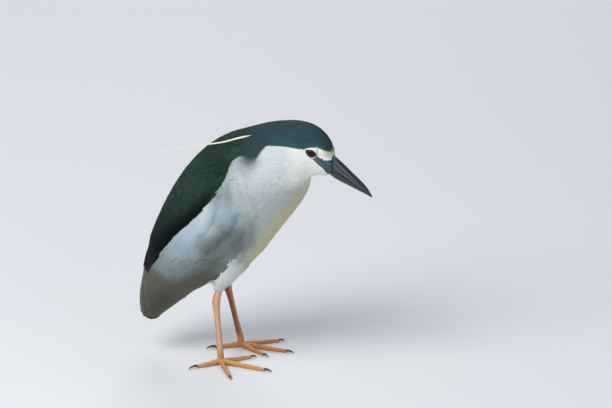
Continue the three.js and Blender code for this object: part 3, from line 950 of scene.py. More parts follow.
# %% Vane recipes
# Each row: share of the length, share of the width. Each column: place across, height over the vane's
# plane as a share of the width, and where the column ends as a share of the length.
DOWN = {
    "rows": [(0, 0.6), (0.5, 1.0), (1.0, 0.15)],
    "columns": [(-1, -0.10, 0.90), (0, 0.10, 1.0), (1, -0.10, 0.86)],
}
SILK = {
    "rows": [(0, 0.5), (0.35, 1.0), (0.7, 0.8), (1.0, 0.14)],
    "columns": [(-1, -0.10, 0.90), (0, 0.09, 1.0), (1, -0.10, 0.87)],
}
CONTOUR = {
    "rows": [(0, 0.5), (0.3, 0.9), (0.6, 1.0), (0.85, 0.8), (1.0, 0.35)],
    "columns": [(-1, -0.08, 0.90), (-0.5, 0.0, 0.97), (0, 0.04, 1.0), (0.5, 0.0, 0.96), (1, -0.08, 0.88)],
}
LANCE = {
    "rows": [(0, 0.45), (0.3, 0.95), (0.6, 0.9), (0.85, 0.5), (1.0, 0.10)],
    "columns": [(-1, -0.14, 0.93), (0, 0.11, 1.0), (1, -0.14, 0.92)],
}


def vane_faces(count, rows, columns):
    """Faces of `count` vanes; each row has its columns and one point below the shaft."""
    ring = columns + 1
    row = np.arange(rows - 1)[:, None] * ring
    across = np.arange(ring)[None]
    a = (row + across).ravel()
    b = (row + (across + 1) % ring).ravel()
    quads = np.column_stack([a, a + ring, b + ring, b])
    fan = np.arange(columns - 1)
    last = (rows - 1) * ring
    root = np.column_stack([fan, fan + 1, np.full(columns - 1, columns)])
    tip = np.column_stack([last + fan + 1, last + fan, np.full(columns - 1, last + columns)])
    offsets = np.arange(count)[:, None, None] * (rows * ring)
    ends = np.concatenate([root, tip])
    return (quads[None] + offsets).reshape(-1, 4), (ends[None] + offsets).reshape(-1, 3)


# %% [markdown]
# ## A map for the colours
# Each feather gets a tiny patch of a flat map for the colours, at the place where its root lies on an
# unwrap of the skin: how far along the bird's midline, and how far round it.

# %% Unwrap of the skin
MIDLINE = np.array([
    (-112.0, 50), (-98, 110), (-66, 172), (-14, 222), (40, 268), (80, 303), (118, 306), (156, 290),
])
MIDLINE_STEP = np.diff(MIDLINE, axis=0)
MIDLINE_LENGTH = np.linalg.norm(MIDLINE_STEP, axis=1)
MIDLINE_RUN = np.concatenate([[0], np.cumsum(MIDLINE_LENGTH)])
PATCH = 0.003


def unwrapped(places):
    """Where each place lies on the unwrap: its run along the midline and its turn round it, both 0 to 1."""
    side = places[:, [0, 2]]
    best = np.full(len(places), np.inf)
    run = np.zeros(len(places))
    over = np.zeros(len(places))
    for start, step, length, before in zip(MIDLINE, MIDLINE_STEP, MIDLINE_LENGTH, MIDLINE_RUN):
        along = np.clip(((side - start) @ step) / length**2, 0, 1)
        gap = side - start - along[:, None] * step
        far = np.linalg.norm(gap, axis=1)
        better = far < best
        best = np.where(better, far, best)
        run = np.where(better, before + along * length, run)
        over = np.where(better, gap @ np.array([-step[1], step[0]]) / length, over)
    turn = np.arctan2(places[:, 1], over) / math.tau + 0.5
    return np.column_stack([0.01 + 0.98 * run / MIDLINE_RUN[-1], 0.01 + 0.98 * turn])


def set_maps(mesh, roots_map, local, patch, vane):
    """Give a coat piece its colour map and, for the finish, each point's place on its own vane."""
    corners = np.empty(len(mesh.loops), dtype=np.int32)
    mesh.loops.foreach_get("vertex_index", corners)
    layer = mesh.uv_layers.new(name="OFBake")
    layer.data.foreach_set("uv", (roots_map + local * patch)[corners].ravel())
    layer = mesh.attributes.new("vane", "FLOAT_VECTOR", "POINT")
    layer.data.foreach_set("vector", vane.ravel())


# %% [markdown]
# ## Laying a piece of coat
# A piece is laid like shingles. Each feather starts in the skin and rises to the outline of the coat at
# its tip, so the next one's root slides under it. Length, width, heading, roll and lift all vary a
# little.


# %% Joining vanes
SHEEN_BEND = 0.22


def join_vanes(name, vanes, patch):
    """One object from many vanes that share their rows and columns.

    Soft light on a coat needs soft normals: the upper side of each vane faces as the body does, bent a
    little to each side of the shaft, and the underside faces the other way.
    """
    count, n_rows, n_columns = vanes["top"].shape[:3]
    ring = n_columns + 1
    points = np.concatenate([vanes["top"], vanes["keel"][:, :, None]], axis=2).reshape(-1, 3)
    quads, tris = vane_faces(count, n_rows, n_columns)
    made = make_object(name, points, quads, tris)
    bend = np.append(vanes["columns"], 0)[None, None, :, None] * SHEEN_BEND
    facing = vanes["up"][:, :, None] + vanes["across"][:, :, None] * bend
    facing = (facing / np.linalg.norm(facing, axis=-1)[..., None]).reshape(-1, 3)
    upper = np.tile(np.arange(ring) < n_columns - 1, len(quads) // ring)
    corner_normals = facing[quads] * np.where(upper, 1.0, -1.0)[:, None, None]
    every = np.concatenate([corner_normals.reshape(-1, 3), np.zeros((tris.size, 3))])
    made.data.normals_split_custom_set(every.tolist())
    set_tint(made.data, vanes["tint"].reshape(-1, 3))
    share = np.append(vanes["columns"], 0) / 2
    reach = np.concatenate([vanes["reach"], vanes["reach"][:, :, :1]], axis=2)
    local = np.stack([np.broadcast_to(share, reach.shape), reach - 0.5], axis=-1).reshape(-1, 2)
    roots_map = np.repeat(unwrapped(vanes["roots"]), n_rows * ring, axis=0)
    half = np.concatenate([vanes["side"], np.zeros_like(vanes["side"][:, :, :1])], axis=2)
    along = reach * vanes["lengths"][:, None, None]
    chance = np.broadcast_to(vanes["chance"][:, None, None], reach.shape)
    vane = np.stack([half, along, chance], axis=-1).reshape(-1, 3)
    set_maps(made.data, roots_map, local, np.array(patch), vane)
    triangles = len(quads) * 2 + len(tris)
    print(name + ":", count, "feathers,", triangles, "triangles")
    return made


# %% Laying small vanes
def turned_by(headings, normals, angles):
    """Headings turned in the surface by an angle in radians."""
    sideways = np.cross(normals, headings)
    return headings * np.cos(angles)[:, None] + sideways * np.sin(angles)[:, None]


def surface_frame(places):
    found = [coat_surface(p) for p in places.tolist()]
    return np.array([f[0] for f in found]), np.array([f[1] for f in found])


def lay_vanes(name, places, recipe, length, width, tone, seed, owner="trunk",
              lift=0.10, sway=0.06, roll=0.05, variety=0.04, loose=0.09, blocked=None, hang=False):
    """Lay one vane at each place and join them all in one object named name."""
    draw = np.random.default_rng(seed)
    count = len(places)
    places, normals = surface_frame(places)
    lengths = (length(places) if callable(length) else length) * draw.uniform(0.82, 1.15, count)
    widths = (width(places) if callable(width) else width) * draw.uniform(0.85, 1.15, count) / 2
    headings = turned_by(lie(places), normals, draw.normal(0, sway, count))
    rows = np.array(recipe["rows"])
    columns = np.array(recipe["columns"])
    track = walk(places, headings, lengths, rows[:, 0], hang)
    good = np.ones(count, dtype=bool)
    if blocked is not None:
        bad = blocked(track[0].reshape(-1, 3)).reshape(count, -1).any(axis=1)
        lengths = np.where(bad, lengths * 0.5, lengths)
        track[:, bad] = walk(places[bad], headings[bad], lengths[bad], rows[:, 0])
        good = ~blocked(track[0].reshape(-1, 3)).reshape(count, -1).any(axis=1)
    depth = coat_depth(places, np.full(count, owner))
    rolls = draw.normal(0, roll, count)
    lifts = (lift(places) if callable(lift) else lift) + loose * draw.uniform(-1, 0.8, count)
    shade = draw.uniform(1 - 1.5 * variety, 1 + variety, count)
    frays = draw.uniform(-0.06, 0.04, (count, len(columns)))
    chance = draw.random(count)
    track = track[:, good]
    lengths, widths, depth, rolls = lengths[good], widths[good], depth[good], rolls[good]
    lifts, shade, frays, chance = lifts[good], shade[good], frays[good], chance[good]

    centre, up, ahead = track
    across = np.cross(up, ahead)
    across = across * np.cos(rolls)[:, None, None] + up * np.sin(rolls)[:, None, None]
    t = rows[:, 0][None, :, None]
    ends = columns[:, 2][None, None] + frays[:, None]
    reach = t * (1 - (1 - ends) * t**3)
    rise = (-depth * 1.05)[:, None, None] * np.clip(1 - reach, 0, 1) ** 3.4 + lifts[:, None, None] * reach
    half = widths[:, None, None] * rows[:, 1][None, :, None]
    side = columns[:, 0][None, None] * half
    height = rise + columns[:, 1][None, None] * half
    slide = (reach - t) * lengths[:, None, None]
    top = centre[:, :, None] + across[:, :, None] * side[..., None]
    top += up[:, :, None] * height[..., None] + ahead[:, :, None] * slide[..., None]
    keel = top[:, :, len(columns) // 2] - up * np.maximum(0.12 * half, 0.05)
    roots = centre[:, 0]
    shown = tone(centre.reshape(-1, 3)).reshape(centre.shape)
    tint = np.repeat(shown[:, :, None], len(columns) + 1, axis=2) * shade[:, None, None, None]
    vanes = {
        "top": top, "keel": keel, "up": up, "across": across, "columns": columns[:, 0], "reach": reach,
        "side": side, "lengths": lengths, "chance": chance, "roots": roots, "tint": tint,
    }
    return join_vanes(name, vanes, (PATCH, PATCH))


# %% [markdown]
# ## The small feathers
# The coat is laid in pieces by region: tiny down on face and crown, silky feathers on neck, breast, belly
# and thighs, long lances on the mantle, and rounded ones on the wing. Bare skin before the eye and the
# eye keep clear.

# %% Regions
OVER = above_dark_edge(FACE_CENTRES) > 0
AT_X, AT_Z = FACE_CENTRES[:, 0], FACE_CENTRES[:, 2]
BARE = inside(LORE, FACE_CENTRES) | by_opening(FACE_CENTRES, 3) | ((AT_X > 153) & (AT_Z < 299))
ON_WING = np.char.startswith(FACE_OWNERS, "wing")
ON_THIGH = np.char.startswith(FACE_OWNERS, "thigh")
ON_TAIL = np.char.startswith(FACE_OWNERS, "tail")
NAPE_X = 34
CROWN = OVER & (AT_X > NAPE_X) & ~BARE
MANTLE_PART = OVER & (AT_X <= NAPE_X)
FACE_PART = ~OVER & ~BARE & (AT_X + 4 * np.sin(AT_Z / 4) > 98) & (AT_Z + 4 * np.sin(AT_X / 4) > 262)
PALE = ~OVER & ~BARE & ~FACE_PART & ~ON_WING & ~ON_THIGH & ~ON_TAIL
NECK_PART = PALE & (AT_Z > 215)
BREAST_PART = PALE & (AT_Z <= 215)
COVERT_LINE = 172
COVERTS = ON_WING & ~OVER & (AT_Z + 5 * np.sin(AT_X / 3) > COVERT_LINE)
LOW_WING = ON_WING & ~OVER & ~COVERTS

PIECES = []


def dress(piece, slot):
    """Ride a piece on the body, name its finish slot and remember it."""
    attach(piece, "root")
    PIECES.append((piece, slot))
    return piece


# %% Crown and face
def off_the_cap(places):
    """Pale feathers keep clear of the eye and the lore, and tuck in at the dark border."""
    return by_opening(places, 4) | (above_dark_edge(places) > 2.5) | inside(LORE_CORE, places)


def in_the_eye(places):
    return by_opening(places, 2.5)


places = scatter(CROWN, 1.15, 1)
dress(lay_vanes("coat_crown", places, DOWN, 8.0, 1.5, coat_tone, 11, owner="head", variety=0.1,
                blocked=in_the_eye), "dark_plumage")


def face_length(places):
    return 5.5 + 7.5 * smooth(118, 98, places[:, 0])


def face_width(places):
    return 1.2 + 0.8 * smooth(118, 98, places[:, 0])


places = scatter(FACE_PART, 0.9, 2)
face_feathers = lay_vanes("coat_face", places, DOWN, face_length, face_width, coat_tone, 12, owner="head",
                          blocked=off_the_cap)
dress(face_feathers, "white_plumage")

# %% Rims of the eyes
def lid_roots(spacing, seed):
    """Rows of places round each opening, on the part of the lids that stands out of the head."""
    draw = np.random.default_rng(seed)
    rows = []
    for side in (-1, 1):
        middle, outward, forward, upward = eye_frame(side)
        for past in np.arange(3.5, 36, math.degrees(spacing / LID_DOME)):
            count = int(math.tau * LID_DOME * math.sin(math.radians(47 + past)) / spacing)
            angle = (np.arange(count) + draw.random()) * math.tau / count
            tilt = np.radians(opening(angle) + past + draw.normal(0, 0.6, count))[:, None]
            away = np.cos(angle)[:, None] * forward + np.sin(angle)[:, None] * upward
            rows.append(middle + LID_DOME * (np.cos(tilt) * outward + np.sin(tilt) * away))
    roots = np.concatenate(rows)
    settled = surface_frame(roots)[0]
    return roots[(np.linalg.norm(settled - roots, axis=1) < 0.1) & ~inside(LORE_CORE, roots)]


lid_places = lid_roots(0.5, 21)
rim_feathers = lay_vanes("coat_rims", lid_places, DOWN, 1.9, 0.75, coat_tone, 24, owner="head", lift=0.05,
                         blocked=in_the_eye)
dress(rim_feathers, "white_plumage")

# %% Neck and breast
places = scatter(NECK_PART, 1.5, 3)
dress(lay_vanes("coat_neck", places, SILK, 16, 2.5, coat_tone, 13, blocked=off_the_cap), "white_plumage")
places = scatter(BREAST_PART, 1.6, 4)
dress(lay_vanes("coat_breast", places, SILK, 17, 2.7, pale_tone, 14), "white_plumage")

# %% Thighs, with loose cuffs over the knees
places = scatter(ON_THIGH, 1.6, 5)
thighs = lay_vanes("coat_thighs", places, SILK, 11, 2.0, pale_tone, 15, owner="thigh", lift=0.2)
dress(thighs, "white_plumage")
places = scatter(ON_THIGH & (AT_Z < 128), 1.3, 25)
cuffs = lay_vanes("coat_cuffs", places, SILK, 13, 1.2, pale_tone, 26, owner="thigh", lift=0.5, loose=0.5,
                  sway=0.16, roll=0.3,
                  hang=True)
dress(cuffs, "white_plumage")


# %% Mantle and wing coverts
def scapular_length(places):
    """The mantle's feathers grow longer down the back, where they hang over the wing."""
    return 20 + 12 * smooth(290, 200, places[:, 2])


def covert_length(places):
    return 11 + 11 * smooth(270, 190, places[:, 2])


def covert_width(places):
    return 0.32 * covert_length(places)


def mantle_lift(places):
    """The mantle's hem lies over the coverts and quills."""
    return 0.3 + 0.5 * smooth(28, 8, above_dark_edge(places))


def past_the_hem(places):
    return above_dark_edge(places) < -3


def off_the_mantle(places):
    return (above_dark_edge(places) > 1) | by_opening(places, 4)


places = scatter(COVERTS, 2.4, 6)
dress(lay_vanes("coat_coverts", places, CONTOUR, covert_length, covert_width, wing_tone, 16, owner="wing",
                lift=0.04, roll=0.02, variety=0.025, blocked=off_the_mantle), "grey_plumage")
places = scatter(LOW_WING | ON_TAIL, 4.5, 7)
lining = lay_vanes("coat_wing_lining", places, CONTOUR, 18, 6, wing_tone, 17, owner="wing", lift=-1.3)
dress(lining, "grey_plumage")
places = scatter(MANTLE_PART, 2.2, 8)
mantle = lay_vanes("coat_mantle", places, LANCE, scapular_length, 3.2, dark_tone, 18, lift=mantle_lift,
                   loose=0.16,
                   variety=0.2, blocked=past_the_hem)
dress(mantle, "dark_plumage")

# %% [markdown]
# ## The large feathers
# Wing and tail end in a few large quills. Each one has a path of its own, drawn in the view in which the
# fan lies flat: from the side for the wing, from behind for the tail. Every point of a quill is dropped
# on the form along that view, so the fan hugs the body, and a step in height from quill to quill lets
# each lie over the next.


# %% Quills
QUILL_ROWS = 17
SHAFT_SHADE = 0.12
QUILL_PATCH = (PATCH, 8 * PATCH)
COVERT_PATCH = (PATCH, 3 * PATCH)
QUILL_COLUMNS = np.array([-1, -0.72, -0.3, 0, 0.3, 0.72, 1])
QUILL_RIDGE = np.array([-0.025, -0.008, 0.006, 0.018, 0.006, -0.008, -0.025])


def seen_from_side(side):
    """Drop a place (forward, up) of the side view on the form; side is -1 for the right, 1 for the left."""
    def drop(a, b):
        hit = COAT_TREE.ray_cast(Vector((a, side * 200, b)), Vector((0, -side, 0)))
        return hit if hit[0] is not None else COAT_TREE.find_nearest(Vector((a, side * 22, b)))
    return drop


def seen_from_behind(a, b):
    """Drop a place (left, up) of the view from behind on the form."""
    hit = COAT_TREE.ray_cast(Vector((-250, a, b)), Vector((1, 0, 0)))
    return hit if hit[0] is not None else COAT_TREE.find_nearest(Vector((-118, a, b)))


def curve_through(ends, t):
    """A smooth curve through three places, from the first to the last."""
    first, middle, last = (np.array(e, dtype=float) for e in ends)
    control = 2 * middle - (first + last) / 2
    return first * (1 - t) ** 2 + control * 2 * t * (1 - t) + last * t**2


def quill_outline(t, point):
    """Half width of a quill as a share: narrow at the root, parallel, then rounded or pointed."""
    body = 0.55 + 0.45 * smooth(0, 0.22, t)
    end = np.sqrt(np.clip(1 - np.clip((t - 1 + point) / point, 0, 1) ** 2.2, 0.0, 1))
    return body * np.maximum(end, 0.06)


def lay_quills(name, quills, tone, seed, patch, edge=0.08):
    """Join quills in one object; each is (drop, path, width, root height, tip height, pointed share)."""
    draw = np.random.default_rng(seed)
    stations = 1 - (1 - np.linspace(0, 1, QUILL_ROWS)) ** 1.35
    keys = ("top", "keel", "up", "across", "reach", "side", "lengths", "roots", "tint", "chance")
    found = {key: [] for key in keys}
    for drop, path, width, low, high, point in quills:
        flat = np.array([curve_through(path, t) for t in stations])
        way = np.gradient(flat, axis=0)
        way /= np.linalg.norm(way, axis=1)[:, None]
        beside = np.column_stack([way[:, 1], -way[:, 0]])
        half = width / 2 * quill_outline(stations, point)
        split = np.where(draw.random((QUILL_ROWS, 7)) < 0.16, draw.uniform(0.82, 0.97, (QUILL_ROWS, 7)), 1.0)
        split[:, 1:6] = 1.0
        side = half[:, None] * QUILL_COLUMNS * split
        spots = flat[:, None] + beside[:, None] * side[..., None]
        ground = [[drop(*spot)[:2] for spot in row] for row in spots.tolist()]
        places = np.array([[g[0] for g in row] for row in ground])
        up = np.array([row[3][1] for row in ground])
        up = (up + np.roll(up, 1, axis=0) + np.roll(up, -1, axis=0))[1:-1]
        up = np.concatenate([up[:1], up, up[-1:]])
        up /= np.linalg.norm(up, axis=1)[:, None]
        height = low + (high - low) * smooth(0, 0.55, stations)
        top = places + up[:, None] * (height[:, None] + QUILL_RIDGE * width)[..., None]
        run = np.concatenate([[0], np.cumsum(np.linalg.norm(np.diff(top[:, 3], axis=0), axis=1))])
        across = top[:, 6] - top[:, 0]
        across /= np.linalg.norm(across, axis=1)[:, None]
        if np.dot(np.cross(up[5], top[6, 3] - top[5, 3]), across[5]) < 0:
            top, side, across = top[:, ::-1], side[:, ::-1], -across
        base = tone(top.reshape(-1, 3)).reshape(QUILL_ROWS, 7, 3) * draw.uniform(0.9, 1.04)
        rim = np.abs(QUILL_COLUMNS[None]) ** 6 * edge + edge * smooth(0.93, 1, stations)[:, None]
        base = blend(base, 0.5 + 0.5 * base, np.clip(rim, 0, 1))
        shaft = np.exp(-((QUILL_COLUMNS / 0.1) ** 2))
        base = base * (1 - SHAFT_SHADE * shaft)[None, :, None]
        found["top"].append(top)
        found["keel"].append(top[:, 3] - up * 0.35)
        found["up"].append(up)
        found["across"].append(across)
        found["reach"].append(np.broadcast_to((run / run[-1])[:, None], (QUILL_ROWS, 7)))
        found["side"].append(side)
        found["lengths"].append(run[-1])
        found["roots"].append(top[0, 3])
        found["tint"].append(np.concatenate([base, base[:, 3:4]], axis=1))
        found["chance"].append(draw.random())
    vanes = {key: np.array(value) for key, value in found.items()}
    vanes["columns"] = QUILL_COLUMNS
    return join_vanes(name, vanes, patch)


def between(first, last, share):
    """The path that lies at a share of the way from one path to another."""
    return np.array(first, dtype=float) * (1 - share) + np.array(last, dtype=float) * share


# %% Flight feathers and greater coverts
LOWEST_QUILL = [(32, 160), (-36, 96), (-97, 49)]
HIGHEST_QUILL = [(-58, 176), (-86, 138), (-106, 104)]
QUILLS_SHOWN = 14
LOWEST_COVERT = [(50, 196), (38, 176), (22, 158)]
HIGHEST_COVERT = [(-44, 194), (-58, 176), (-72, 156)]
COVERTS_SHOWN = 15

for wing_side, wing_name in ((-1, "right"), (1, "left")):
    drop = seen_from_side(wing_side)
    flight = []
    for k in range(QUILLS_SHOWN):
        share = k / (QUILLS_SHOWN - 1)
        path = between(LOWEST_QUILL, HIGHEST_QUILL, share)
        flight.append((drop, path, 12 + 3 * share, -1.5, -1.05 + 0.6 * share, 0.16))
    piece = lay_quills("quills_" + wing_name, flight, wing_tone, 20 + wing_side, QUILL_PATCH)
    dress(piece, "grey_plumage")
    greater = []
    for k in range(COVERTS_SHOWN):
        share = k / (COVERTS_SHOWN - 1)
        path = between(LOWEST_COVERT, HIGHEST_COVERT, share)
        greater.append((drop, path, 10.5, -1.4, 0.02 + 0.1 * share, 0.35))
    piece = lay_quills("greater_coverts_" + wing_name, greater, wing_tone, 30 + wing_side,
                       COVERT_PATCH)
    dress(piece, "grey_plumage")

# %% Tail feathers
TAIL_PAIRS = 6
tail = []
for k in range(TAIL_PAIRS - 1, -1, -1):
    share = k / (TAIL_PAIRS - 1)
    for tail_side in (-1, 1):
        path = [(tail_side * (1 + 6 * share), 136), (tail_side * (1.5 + 12 * share), 94)]
        path.append((tail_side * (2 + 15 * share), 52 + 5 * share))
        tail.append((seen_from_behind, path, 12, -1.3, -0.1 - 0.8 * share + 0.1 * tail_side, 0.18))
dress(lay_quills("tail_quills", tail, wing_tone, 40, QUILL_PATCH), "grey_plumage")

# %% [markdown]
# ## Bill
# The bill is horn: a stout dagger with a rounded ridge, a groove that runs forward from each nostril and
# a sharp cutting edge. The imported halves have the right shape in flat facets, so each is remeshed finely
# and smoothed, and then the groove, the nostril and the growth furrows are pressed in by moving points
# along their normals.


# %% Remade horn
def remade(name, nodes, voxel, rounds):
    """A smooth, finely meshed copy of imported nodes, in their own place."""
    made = joined_nodes(name, nodes, 0.0)
    add_modifier(made, "REMESH", mode="VOXEL", voxel_size=voxel * MM)
    add_modifier(made, "SMOOTH", factor=0.5, iterations=rounds)
    settle(made)
    made.data.shade_smooth()
    return made


GAPE_LINE = np.array([(130, 292), (150, 282.5), (171, 271.5), (188, 259.8), (207, 245)])
HORN_VOXEL = 0.45
HORN_ROUNDS = 8
CLAW_VOXEL = 0.3
CLAW_ROUNDS = 3
NOSTRIL = (9.5, 19.0)
STEM = 5.0
STEM_FLARE = 0.14


def bill_measures(points):
    """Run along the bill in millimetres, and height as a share from the gape to the outer ridge."""
    run = bill_place(points)[0]
    rise = points[:, 2] - np.interp(points[:, 0], GAPE_LINE[:, 0], GAPE_LINE[:, 1])
    bins = np.clip(run.astype(int) + 12, 0, 99)
    most = np.ones(100)
    np.maximum.at(most, bins, np.abs(rise))
    most = np.convolve(np.pad(most, 2, mode="edge"), np.ones(5) / 5, mode="valid")
    return run, np.abs(rise) / most[bins]


def bill_relief(run, share, points, upper):
    outward = smooth(0.8, 2.0, np.abs(points[:, 1]))
    groove = np.exp(-(((share - 0.50) / 0.09) ** 2)) * smooth(44, 26, run) * smooth(-4, 4, run)
    furrow = np.exp(-(((share - 0.22) / 0.05) ** 2)) * smooth(52, 34, run)
    relief = -0.42 * groove - 0.16 * furrow
    if upper:
        slit = np.exp(-(((share - 0.53) / 0.10) ** 2)) * smooth(NOSTRIL[0] - 1.5, NOSTRIL[0] + 1.5, run)
        relief -= 1.0 * slit * smooth(NOSTRIL[1] + 2.5, NOSTRIL[1] - 2.5, run)
    return relief * outward


def make_bill(name, node, upper):
    half = remade(name, [node], HORN_VOXEL, HORN_ROUNDS)
    points, normals = point_array(half.data), normal_array(half.data)
    run, share = bill_measures(points)
    points = points + normals * bill_relief(run, share, points, upper)[:, None]
    before = points @ BASE_FACING - (points @ BASE_FACING).min()
    stem = smooth(1.2, 0.4, before)[:, None]
    points = (points - BILL_AXIS * STEM * stem) * (1 + np.array([0, STEM_FLARE, 0]) * stem)
    set_points(half.data, points)
    set_tint(half.data, bill_tone(points))
    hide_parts(node)
    print(name, len(points), "points")
    return dress(half, "bill_horn")


make_bill("bill_upper_horn", "bill_upper", True)
make_bill("bill_lower_horn", "bill_lower", False)

# %% Claws
claws = remade("claws_horn", nodes_of("claw"), CLAW_VOXEL, CLAW_ROUNDS)
claw_points = point_array(claws.data)
claw_points[:, 2] = np.maximum(claw_points[:, 2], 0.0)
set_points(claws.data, claw_points)
CLAW_DARK = linear(44, 44, 46)
CLAW_PALE = linear(92, 84, 72)
set_tint(claws.data, blend(CLAW_DARK, CLAW_PALE, smooth(3.0, 0.5, claw_points[:, 2])))
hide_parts(*nodes_of("claw"))
dress(claws, "claw_horn")
print("claws:", len(claw_points), "points")

# %% [markdown]
# ## Eyes
# A heron's eye is a wet ball with a bulging cornea, a wide black pupil and an iris of dark garnet red. A
# lathe turns its outline about the axis of sight; rings lie close together where the colour changes, so
# that the edge of the pupil is sharp without any image.

# %% Eyeballs
EYE_RINGS = [
    0, 6, 12, 18, 23, 25.5, 26.6, 27.5, 28.6, 31, 35, 40, 45, 50, 55, 60, 62, 64, 68, 76,
    90, 110, 130, 150, 165,
]
EYE_AROUND = 72
PUPIL = np.array([0.002, 0.002, 0.003])
IRIS_INNER = linear(84, 6, 16)
IRIS_OUTER = linear(44, 8, 14)
EYE_BACK = linear(20, 14, 14)


def iris_tone(ring, turn, draw):
    if ring < 27:
        return PUPIL
    if ring > 61:
        return EYE_BACK
    share = np.clip((ring - 27) / 30, 0, 1)
    fibre = 0.82 + 0.3 * draw[int(turn)] * (1 - share)
    return (IRIS_INNER * (1 - share) + IRIS_OUTER * share) * fibre


def make_eye(side, name):
    middle, outward, forward, upward = eye_frame(side)
    draw = np.random.default_rng(50 + side).random(EYE_AROUND)
    points = []
    tones = []
    for ring in EYE_RINGS:
        tilt = math.radians(ring)
        reach = EYE_RADIUS - 0.12 + 0.42 * math.exp(-((ring / 30) ** 2))
        for k in range(EYE_AROUND):
            angle = math.tau * k / EYE_AROUND
            away = math.cos(angle) * forward + math.sin(angle) * upward
            points.append(middle + reach * (math.cos(tilt) * outward + math.sin(tilt) * away))
            tones.append(iris_tone(ring, k, draw))
    first = np.array([(r * EYE_AROUND + k, r * EYE_AROUND + (k + 1) % EYE_AROUND)
                      for r in range(1, len(EYE_RINGS) - 1) for k in range(EYE_AROUND)])
    quads = np.column_stack([first[:, 0], first[:, 1], first[:, 1] + EYE_AROUND, first[:, 0] + EYE_AROUND])
    ring_one = np.arange(EYE_AROUND) + EYE_AROUND
    cap = np.column_stack([np.zeros(EYE_AROUND, dtype=int), ring_one, np.roll(ring_one, -1)])
    last = (len(EYE_RINGS) - 1) * EYE_AROUND
    one = last + np.arange(2, EYE_AROUND)
    back = np.column_stack([np.full(EYE_AROUND - 2, last), one, one - 1])
    ball = make_object("eyeball_" + name, np.array(points), quads, cap, back)
    set_tint(ball.data, np.array(tones))
    clean = bmesh.new()
    clean.from_mesh(ball.data)
    bmesh.ops.delete(clean, geom=[v for v in clean.verts if not v.link_faces], context="VERTS")
    bmesh.ops.recalc_face_normals(clean, faces=clean.faces)
    clean.to_mesh(ball.data)
    clean.free()
    ball.data.shade_smooth()
    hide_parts("eye_" + name)
    return dress(ball, "eye")


make_eye(-1, "right")
make_eye(1, "left")
print("eyes turned on a lathe,", len(EYE_RINGS), "rings each")

# %% [markdown]
# ## Nape plumes
# In the breeding coat two or three long white plumes grow from the nape. They are almost threads: each is
# a thin lens in section, wide near the nape and fine at its end, and they lie together so that they read
# as one.

# %% Plumes
PLUME_PATHS = [
    [(42, -20.0, 326), (26, -21.6, 321.5), (4, -20.5, 313.5), (-18, -20, 308),
     (-66, -21.0, 297), (-104, -20.0, 286)],
    [(40, -20.6, 325), (25, -22.2, 320.8), (4, -21.2, 313.0), (-17, -20.6, 307.6),
     (-62, -22.0, 297.6), (-92, -21.2, 288.6)],
    [(41, -19.6, 325.6), (26, -21.2, 321.0), (4, -20.0, 313.4), (-18, -19.6, 308.2),
     (-58, -20.6, 299.4), (-80, -20.4, 293.4)],
]
PLUME_ROWS = 60
PLUME_SECTION = 8
PLUME_WHITE = linear(240, 240, 226)


def spline_points(path, count):
    """Points of a smooth curve that runs through every place of a path."""
    path = np.array(path, dtype=float)
    ends = np.concatenate([[2 * path[0] - path[1]], path, [2 * path[-1] - path[-2]]])
    made = []
    for share in np.linspace(0, len(path) - 1, count):
        k = min(int(share), len(path) - 2)
        t = share - k
        a, b, c, d = ends[k:k + 4]
        line = 2 * b + (c - a) * t + (2 * a - 5 * b + 4 * c - d) * t**2 + (3 * b - a - 3 * c + d) * t**3
        made.append(0.5 * line)
    return np.array(made)


plume_points = []
plume_quads = []
plume_caps = []
plume_tones = []
for strand, path in enumerate(PLUME_PATHS):
    line = spline_points(path, PLUME_ROWS)
    ahead = np.gradient(line, axis=0)
    ahead /= np.linalg.norm(ahead, axis=1)[:, None]
    flat = np.cross(ahead, [0, 0, 1])
    flat /= np.linalg.norm(flat, axis=1)[:, None]
    thick = np.cross(flat, ahead)
    t = np.linspace(0, 1, PLUME_ROWS)
    wide = (0.35 + 1.05 * smooth(0, 0.12, t)) * (1 - 0.86 * smooth(0.15, 0.75, t))
    wide = wide * (1 - 0.6 * smooth(0.8, 1, t)) + 0.06
    start = len(plume_points)
    for row in range(PLUME_ROWS):
        for k in range(PLUME_SECTION):
            angle = math.tau * k / PLUME_SECTION
            away = flat[row] * 0.75 * math.cos(angle) + thick[row] * math.sin(angle)
            plume_points.append(line[row] + away * wide[row] * 0.8)
            plume_tones.append(PLUME_WHITE * (0.93 + 0.07 * math.sin(row * 1.7 + strand)))
    for row in range(PLUME_ROWS - 1):
        for k in range(PLUME_SECTION):
            a = start + row * PLUME_SECTION + k
            b = start + row * PLUME_SECTION + (k + 1) % PLUME_SECTION
            plume_quads.append((a, b, b + PLUME_SECTION, a + PLUME_SECTION))
    plume_caps.append([start + k for k in reversed(range(PLUME_SECTION))])
    plume_caps.append([len(plume_points) - PLUME_SECTION + k for k in range(PLUME_SECTION)])
plumes = make_object("plumes", np.array(plume_points), np.array(plume_quads), np.array(plume_caps))
face_out(plumes)
set_tint(plumes.data, np.array(plume_tones))
plume_roots = unwrapped(np.array([path[0] for path in PLUME_PATHS], dtype=float))
plume_map = plume_roots[np.repeat(np.arange(len(PLUME_PATHS)), PLUME_ROWS * PLUME_SECTION)]
row_of_point = np.tile(np.repeat(np.arange(PLUME_ROWS), PLUME_SECTION), len(PLUME_PATHS)) / PLUME_ROWS
turn_of_point = np.tile(np.arange(PLUME_SECTION), len(PLUME_PATHS) * PLUME_ROWS) / PLUME_SECTION
plume_place = np.column_stack([turn_of_point, row_of_point])
set_maps(plumes.data, plume_map, plume_place, np.array(QUILL_PATCH), np.zeros((len(plume_points), 3)))
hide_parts("nape_plumes")
dress(plumes, "plume")
print("plumes:", len(PLUME_PATHS), "strands")

